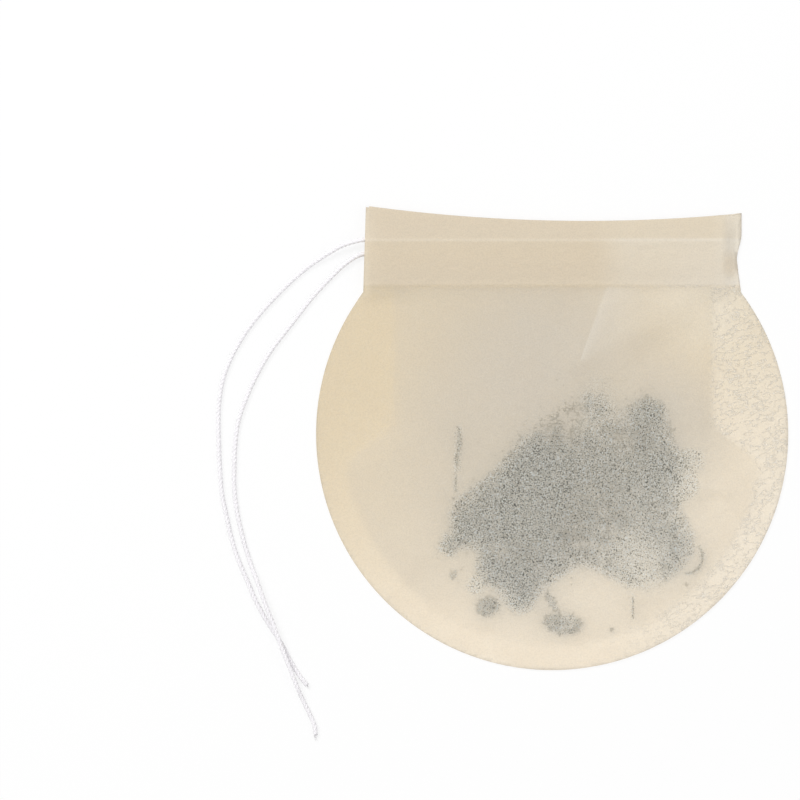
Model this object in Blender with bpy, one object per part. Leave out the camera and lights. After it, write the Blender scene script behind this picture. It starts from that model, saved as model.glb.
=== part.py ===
"""A round drawstring tea bag, lying flat on its back sheet with loose tea inside. Metres, +Z up.

Two sheets of filter paper are cut as a disc with a square neck, folded inwards along the neck's top
as a hem, and sealed together round the rim. A cotton string runs through both hems and leaves on
the left. The floor is z = 0, the neck points to +Y, and the origin is under the middle of the bag.
"""

import math

import bmesh
import bpy
from mathutils import Matrix, Vector, noise

MM = 0.001

# The paper and how it lies
PAPER = 0.15 * MM  # thickness of one sheet
TOUCH = 0.3 * MM  # gap between pieces that lie on each other
DISC_RADIUS = 45 * MM
SEAL_WIDTH = 4.5 * MM  # the sealed rim
SEAL_RADIUS = DISC_RADIUS - SEAL_WIDTH  # inner edge of the rim, which is the pocket's radius
NECK_FOOT = 27 * MM  # where the neck leaves the disc, above the disc's centre
NECK_LEFT_TOP = -35.5 * MM
NECK_RIGHT_TOP = 36.1 * MM
NECK_RIGHT_PINCH = 35.2 * MM  # the string draws the right side in here
PINCH_TOP, PINCH_FOOT = 36.9 * MM, 33.2 * MM
FOLD_LINE = 42.5 * MM  # the top fold, above the disc's centre
FOLD_SLOPE = -0.021  # the top is cut a little out of square
FOLD_DIP = 2.1 * MM  # how far the fold sags at its middle
HEM_EDGE = 28.4 * MM  # the lower, raw edge of the folded hem
FLAP_LEFT = -34.9 * MM  # side edges of the folded strip
FLAP_RIGHT = 30.9 * MM
HEM_CLOSES = (33.6 * MM, 34.9 * MM)  # the front sheet comes down to the seam between these
HEM_FADE = 4 * MM  # the hem's height runs out into the pocket over this length

# The pocket
NECK_POCKET = 31 * MM  # half width between the neck's side seams
POCKET_TURN = (-7 * MM, 3 * MM)  # the side seams run out into the round seal between these heights
RISE_RUN = 9 * MM  # the front sheet rises from the seal over this length
BILLOW = 1.3 * MM  # height of the empty pocket
TEA_RISE = 2.9 * MM  # extra height over the tea
TEA_MIDDLE = Vector((0.12, -0.3)) * SEAL_RADIUS
TEA_SPREAD = Vector((0.75, 0.62)) * SEAL_RADIUS
# Wrinkles of the front sheet: start and end in pocket radii from the disc's centre, height, half width
WRINKLES = (
    ((0.26, 0.70), (0.12, 0.33), 0.9 * MM, 2.6 * MM),
    ((0.12, 0.33), (0.37, 0.23), 0.5 * MM, 2.6 * MM),
    ((0.36, 0.46), (0.61, 0.56), 0.5 * MM, 2.6 * MM),
    ((0.74, 0.68), (0.75, 0.10), 0.5 * MM, 2.4 * MM),
    ((0.64, 0.07), (0.89, 0.07), 0.5 * MM, 2.4 * MM),
    ((0.66, -0.26), (0.88, -0.26), 0.5 * MM, 2.4 * MM),
)

# The string
STRING = 0.88 * MM  # diameter
FRONT_RUN = 36.9 * MM  # height of the run in the front hem, above the disc's centre
BACK_RUN = 34.8 * MM  # and of the run in the back hem
RIDGE = 2.2 * MM  # half width of the paper's ridge over the string
RUN_STARTS = -33 * MM  # the held string begins here, just inside the hem's left end
TURN_AT = 31.6 * MM  # the string turns back here, in a half circle between its two runs
STRING_STEP = 2.2 * MM  # distance between the tube's points
FLOOR_GAP = 0.05 * MM

# The tea. Its places are in pocket radii from the disc's centre
TEA_EDGE = 3 * MM  # the heap's shoulder rounds off over this length
TEA_EDGE_HEIGHT = 0.7 * MM
TEA_CLUMPS = 0.6  # how uneven the heap's top is, as a share of the room
CLUMP_SIZE = 2.0 * MM
UNEVEN = 0.18  # how far a loose bit is from a ball
TEA_OUTLINE = (
    (-0.22, -0.02), (-0.25, -0.11), (-0.39, -0.24), (-0.50, -0.36), (-0.57, -0.55), (-0.46, -0.52),
    (-0.36, -0.57), (-0.32, -0.65), (-0.34, -0.73), (-0.24, -0.77), (-0.19, -0.83), (-0.11, -0.82),
    (-0.03, -0.74), (0.18, -0.66), (0.32, -0.71), (0.45, -0.72), (0.55, -0.69), (0.59, -0.57),
    (0.64, -0.38), (0.65, -0.22), (0.69, -0.08), (0.56, 0.05), (0.53, 0.16), (0.39, 0.17),
    (0.22, 0.15), (0.07, 0.13), (-0.06, 0.05),
)
# Where the tea lies thick or thin: middle and radius in pocket radii, and how much it adds
TEA_PILES = (
    ((-0.09, -0.36), 0.20, 0.45), ((-0.12, -0.50), 0.14, 0.40), ((-0.10, -0.12), 0.12, 0.35),
    ((0.49, -0.18), 0.10, 0.40), ((0.46, 0.11), 0.09, 0.50), ((-0.44, -0.49), 0.09, 0.45),
    ((-0.27, -0.66), 0.10, 0.40), ((-0.16, -0.78), 0.07, 0.45), ((0.15, -0.25), 0.16, 0.20),
    ((0.41, -0.58), 0.11, -0.75), ((-0.24, -0.57), 0.05, -0.60), ((0.47, -0.67), 0.045, -0.9),
    ((0.14, 0.12), 0.15, -0.40), ((0.12, -0.56), 0.07, -0.15), ((0.30, 0.02), 0.08, -0.20),
    ((0.62, -0.35), 0.08, -0.25), ((-0.46, -0.38), 0.05, -0.30), ((0.33, -0.69), 0.06, 0.30),
)
TEA_FULLNESS = 0.7  # how much of the room between the sheets the heap fills elsewhere
THINNEST = 0.2  # least share of the room that the heap fills
# Tea that lies apart: node, middle, length and width in millimetres, share of the room that it fills,
# and turn in degrees
TEA_BITS = (
    ("tea_clump_low", (0.05, -0.89), (7.4, 4.0), 0.8, -6),
    ("tea_clump_left", (-0.30, -0.82), (4.0, 3.1), 0.8, 20),
    ("tea_bit_left", (-0.465, -0.66), (2.1, 1.1), 0.4, 80),
    ("tea_bit_low", (0.0, -0.795), (2.6, 1.2), 0.35, -63),
    ("tea_speck_right", (0.63, -0.71), (0.9, 0.7), 0.7, 30),
    ("tea_speck_low", (0.28, -0.92), (0.8, 0.7), 0.7, 0),
)
# Stems: node, points along the stem, diameter
TEA_STEMS = (
    ("tea_stem_left_upper", ((-0.44, 0.03), (-0.435, -0.04), (-0.445, -0.10), (-0.45, -0.16)), 0.9 * MM),
    ("tea_stem_left_lower", ((-0.45, -0.19), (-0.455, -0.23), (-0.453, -0.27)), 0.5 * MM),
    ("tea_stem_low", ((0.38, -0.76), (0.38, -0.81), (0.38, -0.87)), 0.45 * MM),
)
CURL_MIDDLE = Vector((0.63, -0.58)) * SEAL_RADIUS
CURL_RADIUS = 3.1 * MM
CURL_LEAF = 0.6 * MM  # thickness of the rolled leaf
CURL_TURN = (-95, 45)  # degrees, start and end of the curl

PAPER_COLOUR = (0.72, 0.6, 0.43)
STRING_COLOUR = (0.85, 0.83, 0.84)
TEA_COLOUR = (0.09, 0.095, 0.08)

# How finely the shapes are divided
SHEET_GRID = 3.3 * MM
BACK_GRID = 20 * MM
HEAP_GRID = 1.2 * MM
DISC_STEPS = 72
FOLD_STEPS = 4
RIDGE_ROWS = (-1, -0.55, -0.27, 0, 0.27, 0.55, 1)  # shares of the ridge's half width
STRING_TURN_STEPS = 6
STEM_STEP = 1.2 * MM
CURL_STEPS = 14
ROUTE_SAMPLES = 16  # for each of a route's own points
SHORTEST_EDGE = 0.2 * MM
SHORTEST_HEAP_EDGE = 0.5 * MM
SHARP_ANGLE = math.radians(50)

NECK_HALF = math.sqrt(DISC_RADIUS**2 - NECK_FOOT**2)
FOLD_RADIUS = PAPER + TOUCH / 2
BACK_TOP = PAPER
SEAL_GAP = TOUCH  # between the two sheets where they are sealed
STRING_ROOM = STRING + 2 * TOUCH  # room inside a hem where the string runs


def smooth_step(value):
    value = min(max(value, 0.0), 1.0)
    return value * value * (3 - 2 * value)


def fold_shift(x, y):
    """How far the neck's top is shifted along Y by the fold's slope and sag. It ends above the string."""
    half = (NECK_RIGHT_TOP - NECK_LEFT_TOP) / 2
    shift = FOLD_SLOPE * x - FOLD_DIP * (1 - min(abs(x) / half, 1.0) ** 2)
    start = FRONT_RUN + STRING / 2
    return shift * smooth_step((y - start) / (FOLD_LINE - start))


HIGHEST = FOLD_LINE + fold_shift(FLAP_LEFT, FOLD_LINE) + FOLD_RADIUS
CENTRE_Y = (DISC_RADIUS - HIGHEST) / 2  # the disc's centre, with the origin at the middle of the bag


def string_ridge(y, run):
    """The extra height of paper that lies over a run of string."""
    across = min(abs(y - run) / RIDGE, 1.0)
    return (STRING_ROOM - TOUCH) * math.cos(across * math.pi / 2) ** 2


def back_flap_height(y):
    """Underside of the back sheet's folded strip."""
    return BACK_TOP + TOUCH + string_ridge(y, BACK_RUN)


def front_flap_height(y):
    """Underside of the front sheet's folded strip, which lies on the back sheet's."""
    return back_flap_height(y) + PAPER + TOUCH


def seal_distance(x, y):
    """How far a point lies inside the pocket's seal: under 0 it is on the sealed rim."""
    lower, upper = POCKET_TURN
    neck = smooth_step((y - lower) / (upper - lower))
    round_half = math.sqrt(max(SEAL_RADIUS**2 - y * y, 0.0))
    half = NECK_POCKET * neck + round_half * (1 - neck)
    side = half - abs(x)
    if y > 0:
        return side
    return min(side, SEAL_RADIUS - math.hypot(x, y))


def wrinkle_height(x, y):
    """Ridges of the front sheet, which run out at both ends."""
    total = 0.0
    point = Vector((x, y))
    for first, last, height, half_width in WRINKLES:
        start, end = Vector(first) * SEAL_RADIUS, Vector(last) * SEAL_RADIUS
        along = end - start
        share = (point - start).dot(along) / along.length_squared
        nearest = start + along * min(max(share, 0.0), 1.0)
        across = (point - nearest).length / half_width
        total += height * math.exp(-across * across)
    return total


def pocket_gap(x, y):
    """Room between the sheets in the pocket and on the sealed rim."""
    inside = seal_distance(x, y)
    rise = 1 - (1 - min(max(inside / RISE_RUN, 0.0), 1.0)) ** 2
    off_x = (x - TEA_MIDDLE.x) / TEA_SPREAD.x
    off_y = (y - TEA_MIDDLE.y) / TEA_SPREAD.y
    mound = math.exp(-(off_x**2 + off_y**2))
    lift = BILLOW + TEA_RISE * mound + wrinkle_height(x, y)
    return SEAL_GAP + rise * lift


def front_gap(x, y):
    """Room between the back sheet and the front sheet, anywhere on the bag."""
    stack = front_flap_height(y) + PAPER + TOUCH + string_ridge(y, FRONT_RUN) - BACK_TOP
    start, end = HEM_CLOSES
    stack = SEAL_GAP + (stack - SEAL_GAP) * (1 - smooth_step((x - start) / (end - start)))
    in_hem = smooth_step((y - HEM_EDGE + HEM_FADE) / HEM_FADE)
    return pocket_gap(x, y) * (1 - in_hem) + stack * in_hem


def front_top(x, y):
    return BACK_TOP + front_gap(x, y) + PAPER


def back_underside(x, y):
    return 0.0


def back_strip_top(y):
    return back_flap_height(y) + PAPER


def new_object(name, mesh, colour, roughness):
    """Puts a mesh in the scene under its name with a material of its own."""
    material = bpy.data.materials.new(name + "_material")
    material.use_nodes = True
    shader = material.node_tree.nodes["Principled BSDF"]
    shader.inputs["Base Color"].default_value = (*colour, 1)
    shader.inputs["Roughness"].default_value = roughness
    shader.inputs["Metallic"].default_value = 0
    mesh.materials.append(material)
    thing = bpy.data.objects.new(name, mesh)
    bpy.context.scene.collection.objects.link(thing)
    return thing


def cut_lines(bm, axis, places):
    """Divides the flat shape along lines across the X or Y axis."""
    normal = Vector((1, 0, 0)) if axis == 0 else Vector((0, 1, 0))
    for place in places:
        everything = bm.verts[:] + bm.edges[:] + bm.faces[:]
        bmesh.ops.bisect_plane(bm, geom=everything, dist=1e-7, plane_co=normal * place, plane_no=normal)


def steps_between(start, end, step):
    """Evenly spaced places between two values, without the ends."""
    count = max(round((end - start) / step), 1)
    return [start + (end - start) * i / count for i in range(1, count)]


def ridge_rows():
    """Where the paper needs lines to follow the ridges over the two runs of string."""
    return [run + RIDGE * share for run in (FRONT_RUN, BACK_RUN) for share in RIDGE_ROWS]


def flat_outline():
    """The sheet as it is cut, before it is folded: disc, neck, and the strip beyond the fold."""
    fold_length = math.pi * FOLD_RADIUS
    strip_end = 2 * FOLD_LINE + fold_length - HEM_EDGE
    foot_angle = math.atan2(NECK_FOOT, NECK_HALF)
    sweep = math.pi + 2 * foot_angle
    points = []
    for i in range(DISC_STEPS + 1):
        angle = math.pi - foot_angle + sweep * i / DISC_STEPS
        points.append((DISC_RADIUS * math.cos(angle), DISC_RADIUS * math.sin(angle)))
    points += [
        (NECK_RIGHT_PINCH, PINCH_FOOT),
        (NECK_RIGHT_PINCH, PINCH_FOOT + (PINCH_TOP - PINCH_FOOT) * 0.6),
        (NECK_RIGHT_TOP, PINCH_TOP),
        (NECK_RIGHT_TOP, FOLD_LINE),
        (FLAP_RIGHT, FOLD_LINE),
        (FLAP_RIGHT, strip_end),
        (FLAP_LEFT, strip_end),
        (FLAP_LEFT, FOLD_LINE),
        (NECK_LEFT_TOP, FOLD_LINE),
    ]
    return points, strip_end


def folded_sheet(name, outer_height, strip_height, up, columns, rows):
    """One sheet: cut flat, divided, folded at the neck's top, and given its thickness.

    outer_height and strip_height give the sheet's outer face before and beyond the fold, and up is
    1 for the front sheet, whose outer face is on top, and -1 for the back sheet.
    """
    points, strip_end = flat_outline()
    bm = bmesh.new()
    bm.faces.new([bm.verts.new((x, y, 0)) for x, y in points])
    fold_length = math.pi * FOLD_RADIUS
    strip_start = FOLD_LINE + fold_length
    mirrored = [2 * FOLD_LINE + fold_length - y for y in ridge_rows()]
    fold_rows = [FOLD_LINE + fold_length * i / FOLD_STEPS for i in range(FOLD_STEPS + 1)]
    cut_lines(bm, 0, columns)
    cut_lines(bm, 1, rows + fold_rows + mirrored)
    bmesh.ops.remove_doubles(bm, verts=bm.verts[:], dist=SHORTEST_EDGE)
    for vert in bm.verts:
        x, y = vert.co.x, vert.co.y
        if y <= FOLD_LINE:
            place, height, lean = y, outer_height(x, y), 0.0
        elif y < strip_start:
            turn = (y - FOLD_LINE) / FOLD_RADIUS
            first, last = outer_height(x, FOLD_LINE), strip_height(FOLD_LINE)
            middle, radius = (first + last) / 2, (first - last) / 2
            place, height = FOLD_LINE, middle + radius * math.cos(turn)
            lean = abs(radius) * math.sin(turn)
        else:
            place = 2 * FOLD_LINE + fold_length - y
            height, lean = strip_height(place), 0.0
        vert.co = Vector((x, CENTRE_Y + place + fold_shift(x, place) + lean, height))
    bmesh.ops.recalc_face_normals(bm, faces=bm.faces[:])
    underneath = min(bm.faces, key=lambda face: face.calc_center_median().y)
    if underneath.normal.z * up < 0:
        bmesh.ops.reverse_faces(bm, faces=bm.faces[:])
    mesh = bpy.data.meshes.new(name)
    bm.to_mesh(mesh)
    bm.free()
    thing = new_object(name, mesh, PAPER_COLOUR, 0.9)
    thickness = thing.modifiers.new("thickness", "SOLIDIFY")
    thickness.thickness = PAPER
    thickness.offset = -1
    thickness.use_even_offset = True
    finish_surface(thing)


def finish_surface(thing):
    """Fixes a piece's modifiers in its mesh, and shades it smooth between its sharp edges."""
    evaluated = thing.evaluated_get(bpy.context.evaluated_depsgraph_get())
    thing.data = bpy.data.meshes.new_from_object(evaluated)
    thing.modifiers.clear()
    thing.data.shade_smooth()
    thing.data.set_sharp_from_angle(angle=SHARP_ANGLE)


def make_back_sheet():
    """The back sheet lies flat on the floor, with its folded strip over the back run of string."""
    columns = steps_between(-DISC_RADIUS, DISC_RADIUS, BACK_GRID)
    folded_sheet("back_ply", back_underside, back_strip_top, -1, columns, [HEM_EDGE])


def make_front_sheet():
    """The front sheet bulges over the tea and carries the wrinkles and the ridge of the string."""
    rows = ridge_rows() + steps_between(-DISC_RADIUS, HEM_EDGE, SHEET_GRID)
    rows += [HEM_EDGE - HEM_FADE / 3, HEM_EDGE]
    columns = steps_between(-DISC_RADIUS, DISC_RADIUS, SHEET_GRID)
    columns += [HEM_CLOSES[0], sum(HEM_CLOSES) / 2, HEM_CLOSES[1]]
    folded_sheet("front_ply", front_top, front_flap_height, 1, columns, rows)


def smooth_route(points, step):
    """Evenly spaced points on a smooth curve that passes through the route's own points."""
    dense = []
    padded = [2 * points[0] - points[1], *points, 2 * points[-1] - points[-2]]
    for i in range(1, len(padded) - 2):
        before, start, end, after = padded[i - 1 : i + 3]
        for j in range(ROUTE_SAMPLES):
            t = j / ROUTE_SAMPLES
            pull = (end - before) * t
            bend = (2 * before - 5 * start + 4 * end - after) * t * t
            twist = (3 * start - before - 3 * end + after) * t**3
            dense.append((2 * start + pull + bend + twist) / 2)
    dense.append(points[-1])
    lengths = [0.0]
    for first, second in zip(dense, dense[1:]):
        lengths.append(lengths[-1] + (second - first).length)
    count = max(round(lengths[-1] / step), 2)
    route, at = [], 0
    for i in range(count + 1):
        wanted = lengths[-1] * i / count
        while at < len(dense) - 2 and lengths[at + 1] < wanted:
            at += 1
        share = (wanted - lengths[at]) / (lengths[at + 1] - lengths[at])
        route.append(dense[at].lerp(dense[at + 1], share))
    return route


def round_tube(name, route, diameter, colour, roughness):
    """A tube with closed ends along a route, as a curve object with a bevel."""
    curve = bpy.data.curves.new(name, "CURVE")
    curve.dimensions = "3D"
    curve.bevel_depth = diameter / 2
    curve.bevel_resolution = 2
    curve.use_fill_caps = True
    spline = curve.splines.new("POLY")
    spline.points.add(len(route) - 1)
    for point, place in zip(spline.points, route):
        point.co = (*place, 1)
    return new_object(name, curve, colour, roughness)


FRONT_RUN_HEIGHT = front_flap_height(FRONT_RUN) + PAPER + TOUCH + STRING / 2
BACK_RUN_HEIGHT = BACK_TOP + TOUCH + STRING / 2
ON_FLOOR = STRING / 2 + FLOOR_GAP
OVER_STRING = ON_FLOOR + STRING + TOUCH


def make_held_string():
    """The string inside the hems: out along the front run, round at the right, back along the back run."""
    half_gap = (FRONT_RUN - BACK_RUN) / 2
    middle_y = (FRONT_RUN + BACK_RUN) / 2
    route = []
    length = TURN_AT - RUN_STARTS
    count = round(length / STRING_STEP)
    for i in range(count):
        route.append(Vector((RUN_STARTS + length * i / count, FRONT_RUN, FRONT_RUN_HEIGHT)))
    drop = BACK_RUN_HEIGHT - FRONT_RUN_HEIGHT
    for i in range(STRING_TURN_STEPS + 1):
        share = i / STRING_TURN_STEPS
        angle = math.pi / 2 - math.pi * share
        height = FRONT_RUN_HEIGHT + drop * smooth_step(share)
        x = TURN_AT + half_gap * math.cos(angle)
        route.append(Vector((x, middle_y + half_gap * math.sin(angle), height)))
    for i in range(1, count + 1):
        route.append(Vector((TURN_AT - length * i / count, BACK_RUN, BACK_RUN_HEIGHT)))
    for point in route:
        point.y += CENTRE_Y
    round_tube("drawstring_in_hem", route, STRING, STRING_COLOUR, 0.85)


# The free ends' routes on the floor, chosen by hand: millimetres from the disc's centre, and the height there
SHORT_END = (
    (-39.9, 35.9, 1.6), (-43.3, 34.0, 1.0), (-47.1, 31.4, 0), (-51.0, 27.9, 0), (-54.0, 24.8, 0),
    (-56.6, 21.8, 0), (-58.7, 18.9, 0), (-61.0, 14.9, 0), (-62.7, 10.5, 0), (-63.5, 5.5, 0),
    (-63.6, 1.5, 0), (-63.5, -2.9, 0), (-63.3, -7.2, 0), (-62.9, -11.6, 0), (-62.1, -15.5, 0),
    (-61.2, -19.6, 0), (-60.0, -23.5, 0), (-58.2, -27.8, 0), (-56.5, -31.8, 0), (-54.7, -35.1, 0),
    (-52.9, -37.9, 0), (-51.1, -40.8, 0), (-50.0, -43.0, 0), (-48.6, -45.4, 0), (-46.7, -47.9, 0),
)
LONG_END = (
    (-36.9, 34.0, 0.8), (-39.7, 32.2, 0.6), (-42.8, 29.2, 0), (-46.0, 25.7, 0), (-48.4, 22.6, 0),
    (-50.9, 19.4, 0), (-53.5, 16.0, 0), (-55.5, 12.7, 0), (-57.3, 9.2, 0), (-58.6, 6.0, 0),
    (-59.6, 3.2, 0), (-60.2, 0.0, 0), (-60.5, -3.7, 0), (-60.6, -7.2, 0), (-60.6, -9.8, 0),
    (-60.3, -13.2, 0), (-59.7, -16.6, 0), (-59.0, -19.6, 0), (-57.7, -24.0, 0), (-56.1, -28.3, 0.8),
    (-54.7, -32.2, 1), (-53.2, -36.0, 1), (-52.2, -38.8, 1), (-51.3, -41.2, 1), (-49.8, -45.0, 1),
    (-48.6, -48.1, 0.8), (-47.5, -50.7, 0.2), (-46.3, -53.2, 0), (-45.3, -55.5, 0), (-45.1, -57.4, 0),
)


def make_short_end():
    """The end that leaves the front hem and comes down to the floor."""
    start = RUN_STARTS - TOUCH
    route = [
        Vector((start, FRONT_RUN, FRONT_RUN_HEIGHT)),
        Vector((NECK_LEFT_TOP - STRING, FRONT_RUN, FRONT_RUN_HEIGHT)),
    ]
    for x, y, height in SHORT_END:
        route.append(Vector((x * MM, y * MM, max(height * MM, ON_FLOOR))))
    for point in route:
        point.y += CENTRE_Y
    tube_route = smooth_route(route, STRING_STEP)
    round_tube("drawstring_short_end", tube_route, STRING, STRING_COLOUR, 0.85)


def make_long_end():
    """The end that leaves the back hem. Its third figure is 0 on the floor and 1 on the other end."""
    start = RUN_STARTS - TOUCH
    route = [Vector((start, BACK_RUN, BACK_RUN_HEIGHT))]
    for x, y, share in LONG_END:
        climbs = y < 0
        top = OVER_STRING if climbs else BACK_RUN_HEIGHT
        route.append(Vector((x * MM, y * MM, ON_FLOOR + (top - ON_FLOOR) * share)))
    for point in route:
        point.y += CENTRE_Y
    tube_route = smooth_route(route, STRING_STEP)
    round_tube("drawstring_long_end", tube_route, STRING, STRING_COLOUR, 0.85)


TEA_BOTTOM = BACK_TOP + TOUCH


def distance_to_outline(point, outline):
    nearest = 1.0
    for start, end in zip(outline, outline[1:] + outline[:1]):
        along = end - start
        share = min(max((point - start).dot(along) / along.length_squared, 0.0), 1.0)
        nearest = min(nearest, (point - start - along * share).length)
    return nearest


def tea_fullness(place):
    """How much of the room between the sheets the heap fills at a place."""
    total = TEA_FULLNESS
    for middle, radius, adds in TEA_PILES:
        off = (place / SEAL_RADIUS - Vector(middle)).length / radius
        total += adds * math.exp(-off * off)
    total += TEA_CLUMPS * noise.noise(Vector((place.x, place.y, 0)) / CLUMP_SIZE)
    return min(max(total, THINNEST), 1.0)


def make_heap():
    """The main heap: flat below, clumpy above, thick and thin, and no higher than the front sheet allows."""
    outline = [Vector(place) * SEAL_RADIUS for place in TEA_OUTLINE]
    bm = bmesh.new()
    bm.faces.new([bm.verts.new((p.x, p.y, 0)) for p in outline])
    columns = steps_between(min(p.x for p in outline), max(p.x for p in outline), HEAP_GRID)
    rows = steps_between(min(p.y for p in outline), max(p.y for p in outline), HEAP_GRID)
    cut_lines(bm, 0, columns)
    cut_lines(bm, 1, rows)
    bmesh.ops.remove_doubles(bm, verts=bm.verts[:], dist=SHORTEST_HEAP_EDGE)
    raised = bmesh.ops.extrude_face_region(bm, geom=bm.faces[:])["geom"]
    top = [element for element in raised if isinstance(element, bmesh.types.BMVert)]
    for vert in bm.verts:
        vert.co.z = TEA_BOTTOM
    for vert in top:
        place = Vector((vert.co.x, vert.co.y))
        inside = min(distance_to_outline(place, outline) / TEA_EDGE, 1.0)
        room = (front_gap(place.x, place.y) - 2 * TOUCH) * tea_fullness(place)
        shoulder = math.sqrt(1 - (1 - inside) ** 2)
        vert.co.z += TEA_EDGE_HEIGHT + (room - TEA_EDGE_HEIGHT) * shoulder
    for vert in bm.verts:
        vert.co.y += CENTRE_Y
    bmesh.ops.recalc_face_normals(bm, faces=bm.faces[:])
    mesh = bpy.data.meshes.new("tea_heap")
    bm.to_mesh(mesh)
    bm.free()
    new_object("tea_heap", mesh, TEA_COLOUR, 0.95)


def make_bit(name, place, plan, fill, turn):
    """A leaf or clump that lies apart: a flattened, uneven ball, no higher than the front sheet allows."""
    length, width = plan[0] * MM, plan[1] * MM
    middle = Vector(place) * SEAL_RADIUS
    outer = middle + middle.normalized() * width / 2
    height = fill * (front_gap(outer.x, outer.y) - 2 * TOUCH)
    bm = bmesh.new()
    bmesh.ops.create_icosphere(bm, subdivisions=2, radius=0.5)
    for vert in bm.verts:
        vert.co *= 1 + UNEVEN * noise.noise(vert.co * 3 + Vector((*place, 0)))
    bmesh.ops.scale(bm, vec=(length, width, height), verts=bm.verts[:])
    bmesh.ops.rotate(bm, matrix=Matrix.Rotation(math.radians(turn), 3, "Z"), verts=bm.verts[:])
    lowest = min(vert.co.z for vert in bm.verts)
    shift = Vector((middle.x, middle.y + CENTRE_Y, TEA_BOTTOM - lowest))
    bmesh.ops.translate(bm, vec=shift, verts=bm.verts[:])
    mesh = bpy.data.meshes.new(name)
    bm.to_mesh(mesh)
    bm.free()
    new_object(name, mesh, TEA_COLOUR, 0.95)


def make_stem(name, places, diameter):
    height = TEA_BOTTOM + diameter / 2
    route = [Vector((x * SEAL_RADIUS, y * SEAL_RADIUS + CENTRE_Y, height)) for x, y in places]
    round_tube(name, smooth_route(route, STEM_STEP), diameter, TEA_COLOUR, 0.95)


def make_curl():
    """One big leaf, rolled to a thick thread that curls back on itself."""
    start, end = (math.radians(angle) for angle in CURL_TURN)
    route = []
    for i in range(CURL_STEPS + 1):
        angle = start + (end - start) * i / CURL_STEPS
        x = CURL_MIDDLE.x + CURL_RADIUS * math.cos(angle)
        y = CURL_MIDDLE.y + CURL_RADIUS * math.sin(angle) + CENTRE_Y
        route.append(Vector((x, y, TEA_BOTTOM + CURL_LEAF / 2)))
    round_tube("tea_curl_right", route, CURL_LEAF, TEA_COLOUR, 0.95)


def build():
    for thing in list(bpy.data.objects):
        bpy.data.objects.remove(thing)
    make_back_sheet()
    make_front_sheet()
    make_held_string()
    make_short_end()
    make_long_end()
    make_heap()
    for bit in TEA_BITS:
        make_bit(*bit)
    for stem in TEA_STEMS:
        make_stem(*stem)
    make_curl()


build()
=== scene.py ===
"""The finished look of a round drawstring tea bag that lies flat with loose tea inside.

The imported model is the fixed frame. Its paper, string and tea are replaced here by a folded and
see-through sheet, a twisted cotton string with frayed ends, and a few thousand rolled leaves.
Metres, +Z up. Places on the bag are measured from the middle of its disc.
"""

import math
import random

import bmesh
import bpy
from mathutils import Matrix, Vector, noise


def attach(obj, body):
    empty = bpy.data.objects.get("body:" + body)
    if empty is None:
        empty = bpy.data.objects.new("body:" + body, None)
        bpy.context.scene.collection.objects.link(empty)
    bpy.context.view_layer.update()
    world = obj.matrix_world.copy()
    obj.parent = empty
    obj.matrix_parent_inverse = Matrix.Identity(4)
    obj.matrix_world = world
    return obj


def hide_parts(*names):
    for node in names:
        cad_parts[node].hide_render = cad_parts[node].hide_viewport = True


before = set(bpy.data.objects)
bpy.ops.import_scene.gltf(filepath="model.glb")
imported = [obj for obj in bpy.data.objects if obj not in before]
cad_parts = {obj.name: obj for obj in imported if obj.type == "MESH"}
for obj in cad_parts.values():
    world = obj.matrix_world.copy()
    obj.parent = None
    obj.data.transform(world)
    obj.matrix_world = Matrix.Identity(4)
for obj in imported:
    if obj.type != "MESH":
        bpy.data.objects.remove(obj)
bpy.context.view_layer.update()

MM = 0.001

# The paper and how it lies. Only the two values that say so differ from the part's source.
PAPER = 0.15 * MM  # thickness of one sheet
TOUCH = 0.3 * MM  # gap between pieces that lie on each other
DISC_RADIUS = 45 * MM
SEAL_RADIUS = 40.5 * MM  # the pocket's radius, inside the sealed rim
NECK_FOOT = 27 * MM  # where the neck leaves the disc
NECK_LEFT_TOP = -35.5 * MM
NECK_RIGHT_TOP = 36.1 * MM
NECK_RIGHT_PINCH = 35.2 * MM  # the string draws the right side in here
PINCH_TOP, PINCH_FOOT = 36.9 * MM, 33.2 * MM
PINCH_SOFT, PINCH_STEPS = 1.2 * MM, 8  # differs: the pinch runs out this much higher, in a soft curve
FOLD_LINE = 42.5 * MM
FOLD_SLOPE = -0.021
FOLD_DIP = 2.1 * MM  # how far the fold sags at its middle
HEM_EDGE = 28.4 * MM  # the hem's lower, raw edge
FLAP_LEFT, FLAP_RIGHT = -34.9 * MM, 30.9 * MM  # side edges of the folded strip
HEM_CLOSES = (32.3 * MM, 35.3 * MM)  # differs: the hem comes down to its right seam less steeply
HEM_FADE = 4 * MM  # the hem's height runs out into the pocket over this length
NECK_POCKET = 31 * MM  # half width between the neck's side seams
POCKET_TURN = (-7 * MM, 3 * MM)  # the side seams run out into the round seal between these
RISE_RUN = 9 * MM  # the front sheet rises from the seal over this length
BILLOW = 1.3 * MM  # height of the empty pocket
TEA_RISE = 2.9 * MM  # extra height over the tea
TEA_MIDDLE = Vector((0.12, -0.3)) * SEAL_RADIUS
TEA_SPREAD = Vector((0.75, 0.62)) * SEAL_RADIUS
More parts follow.
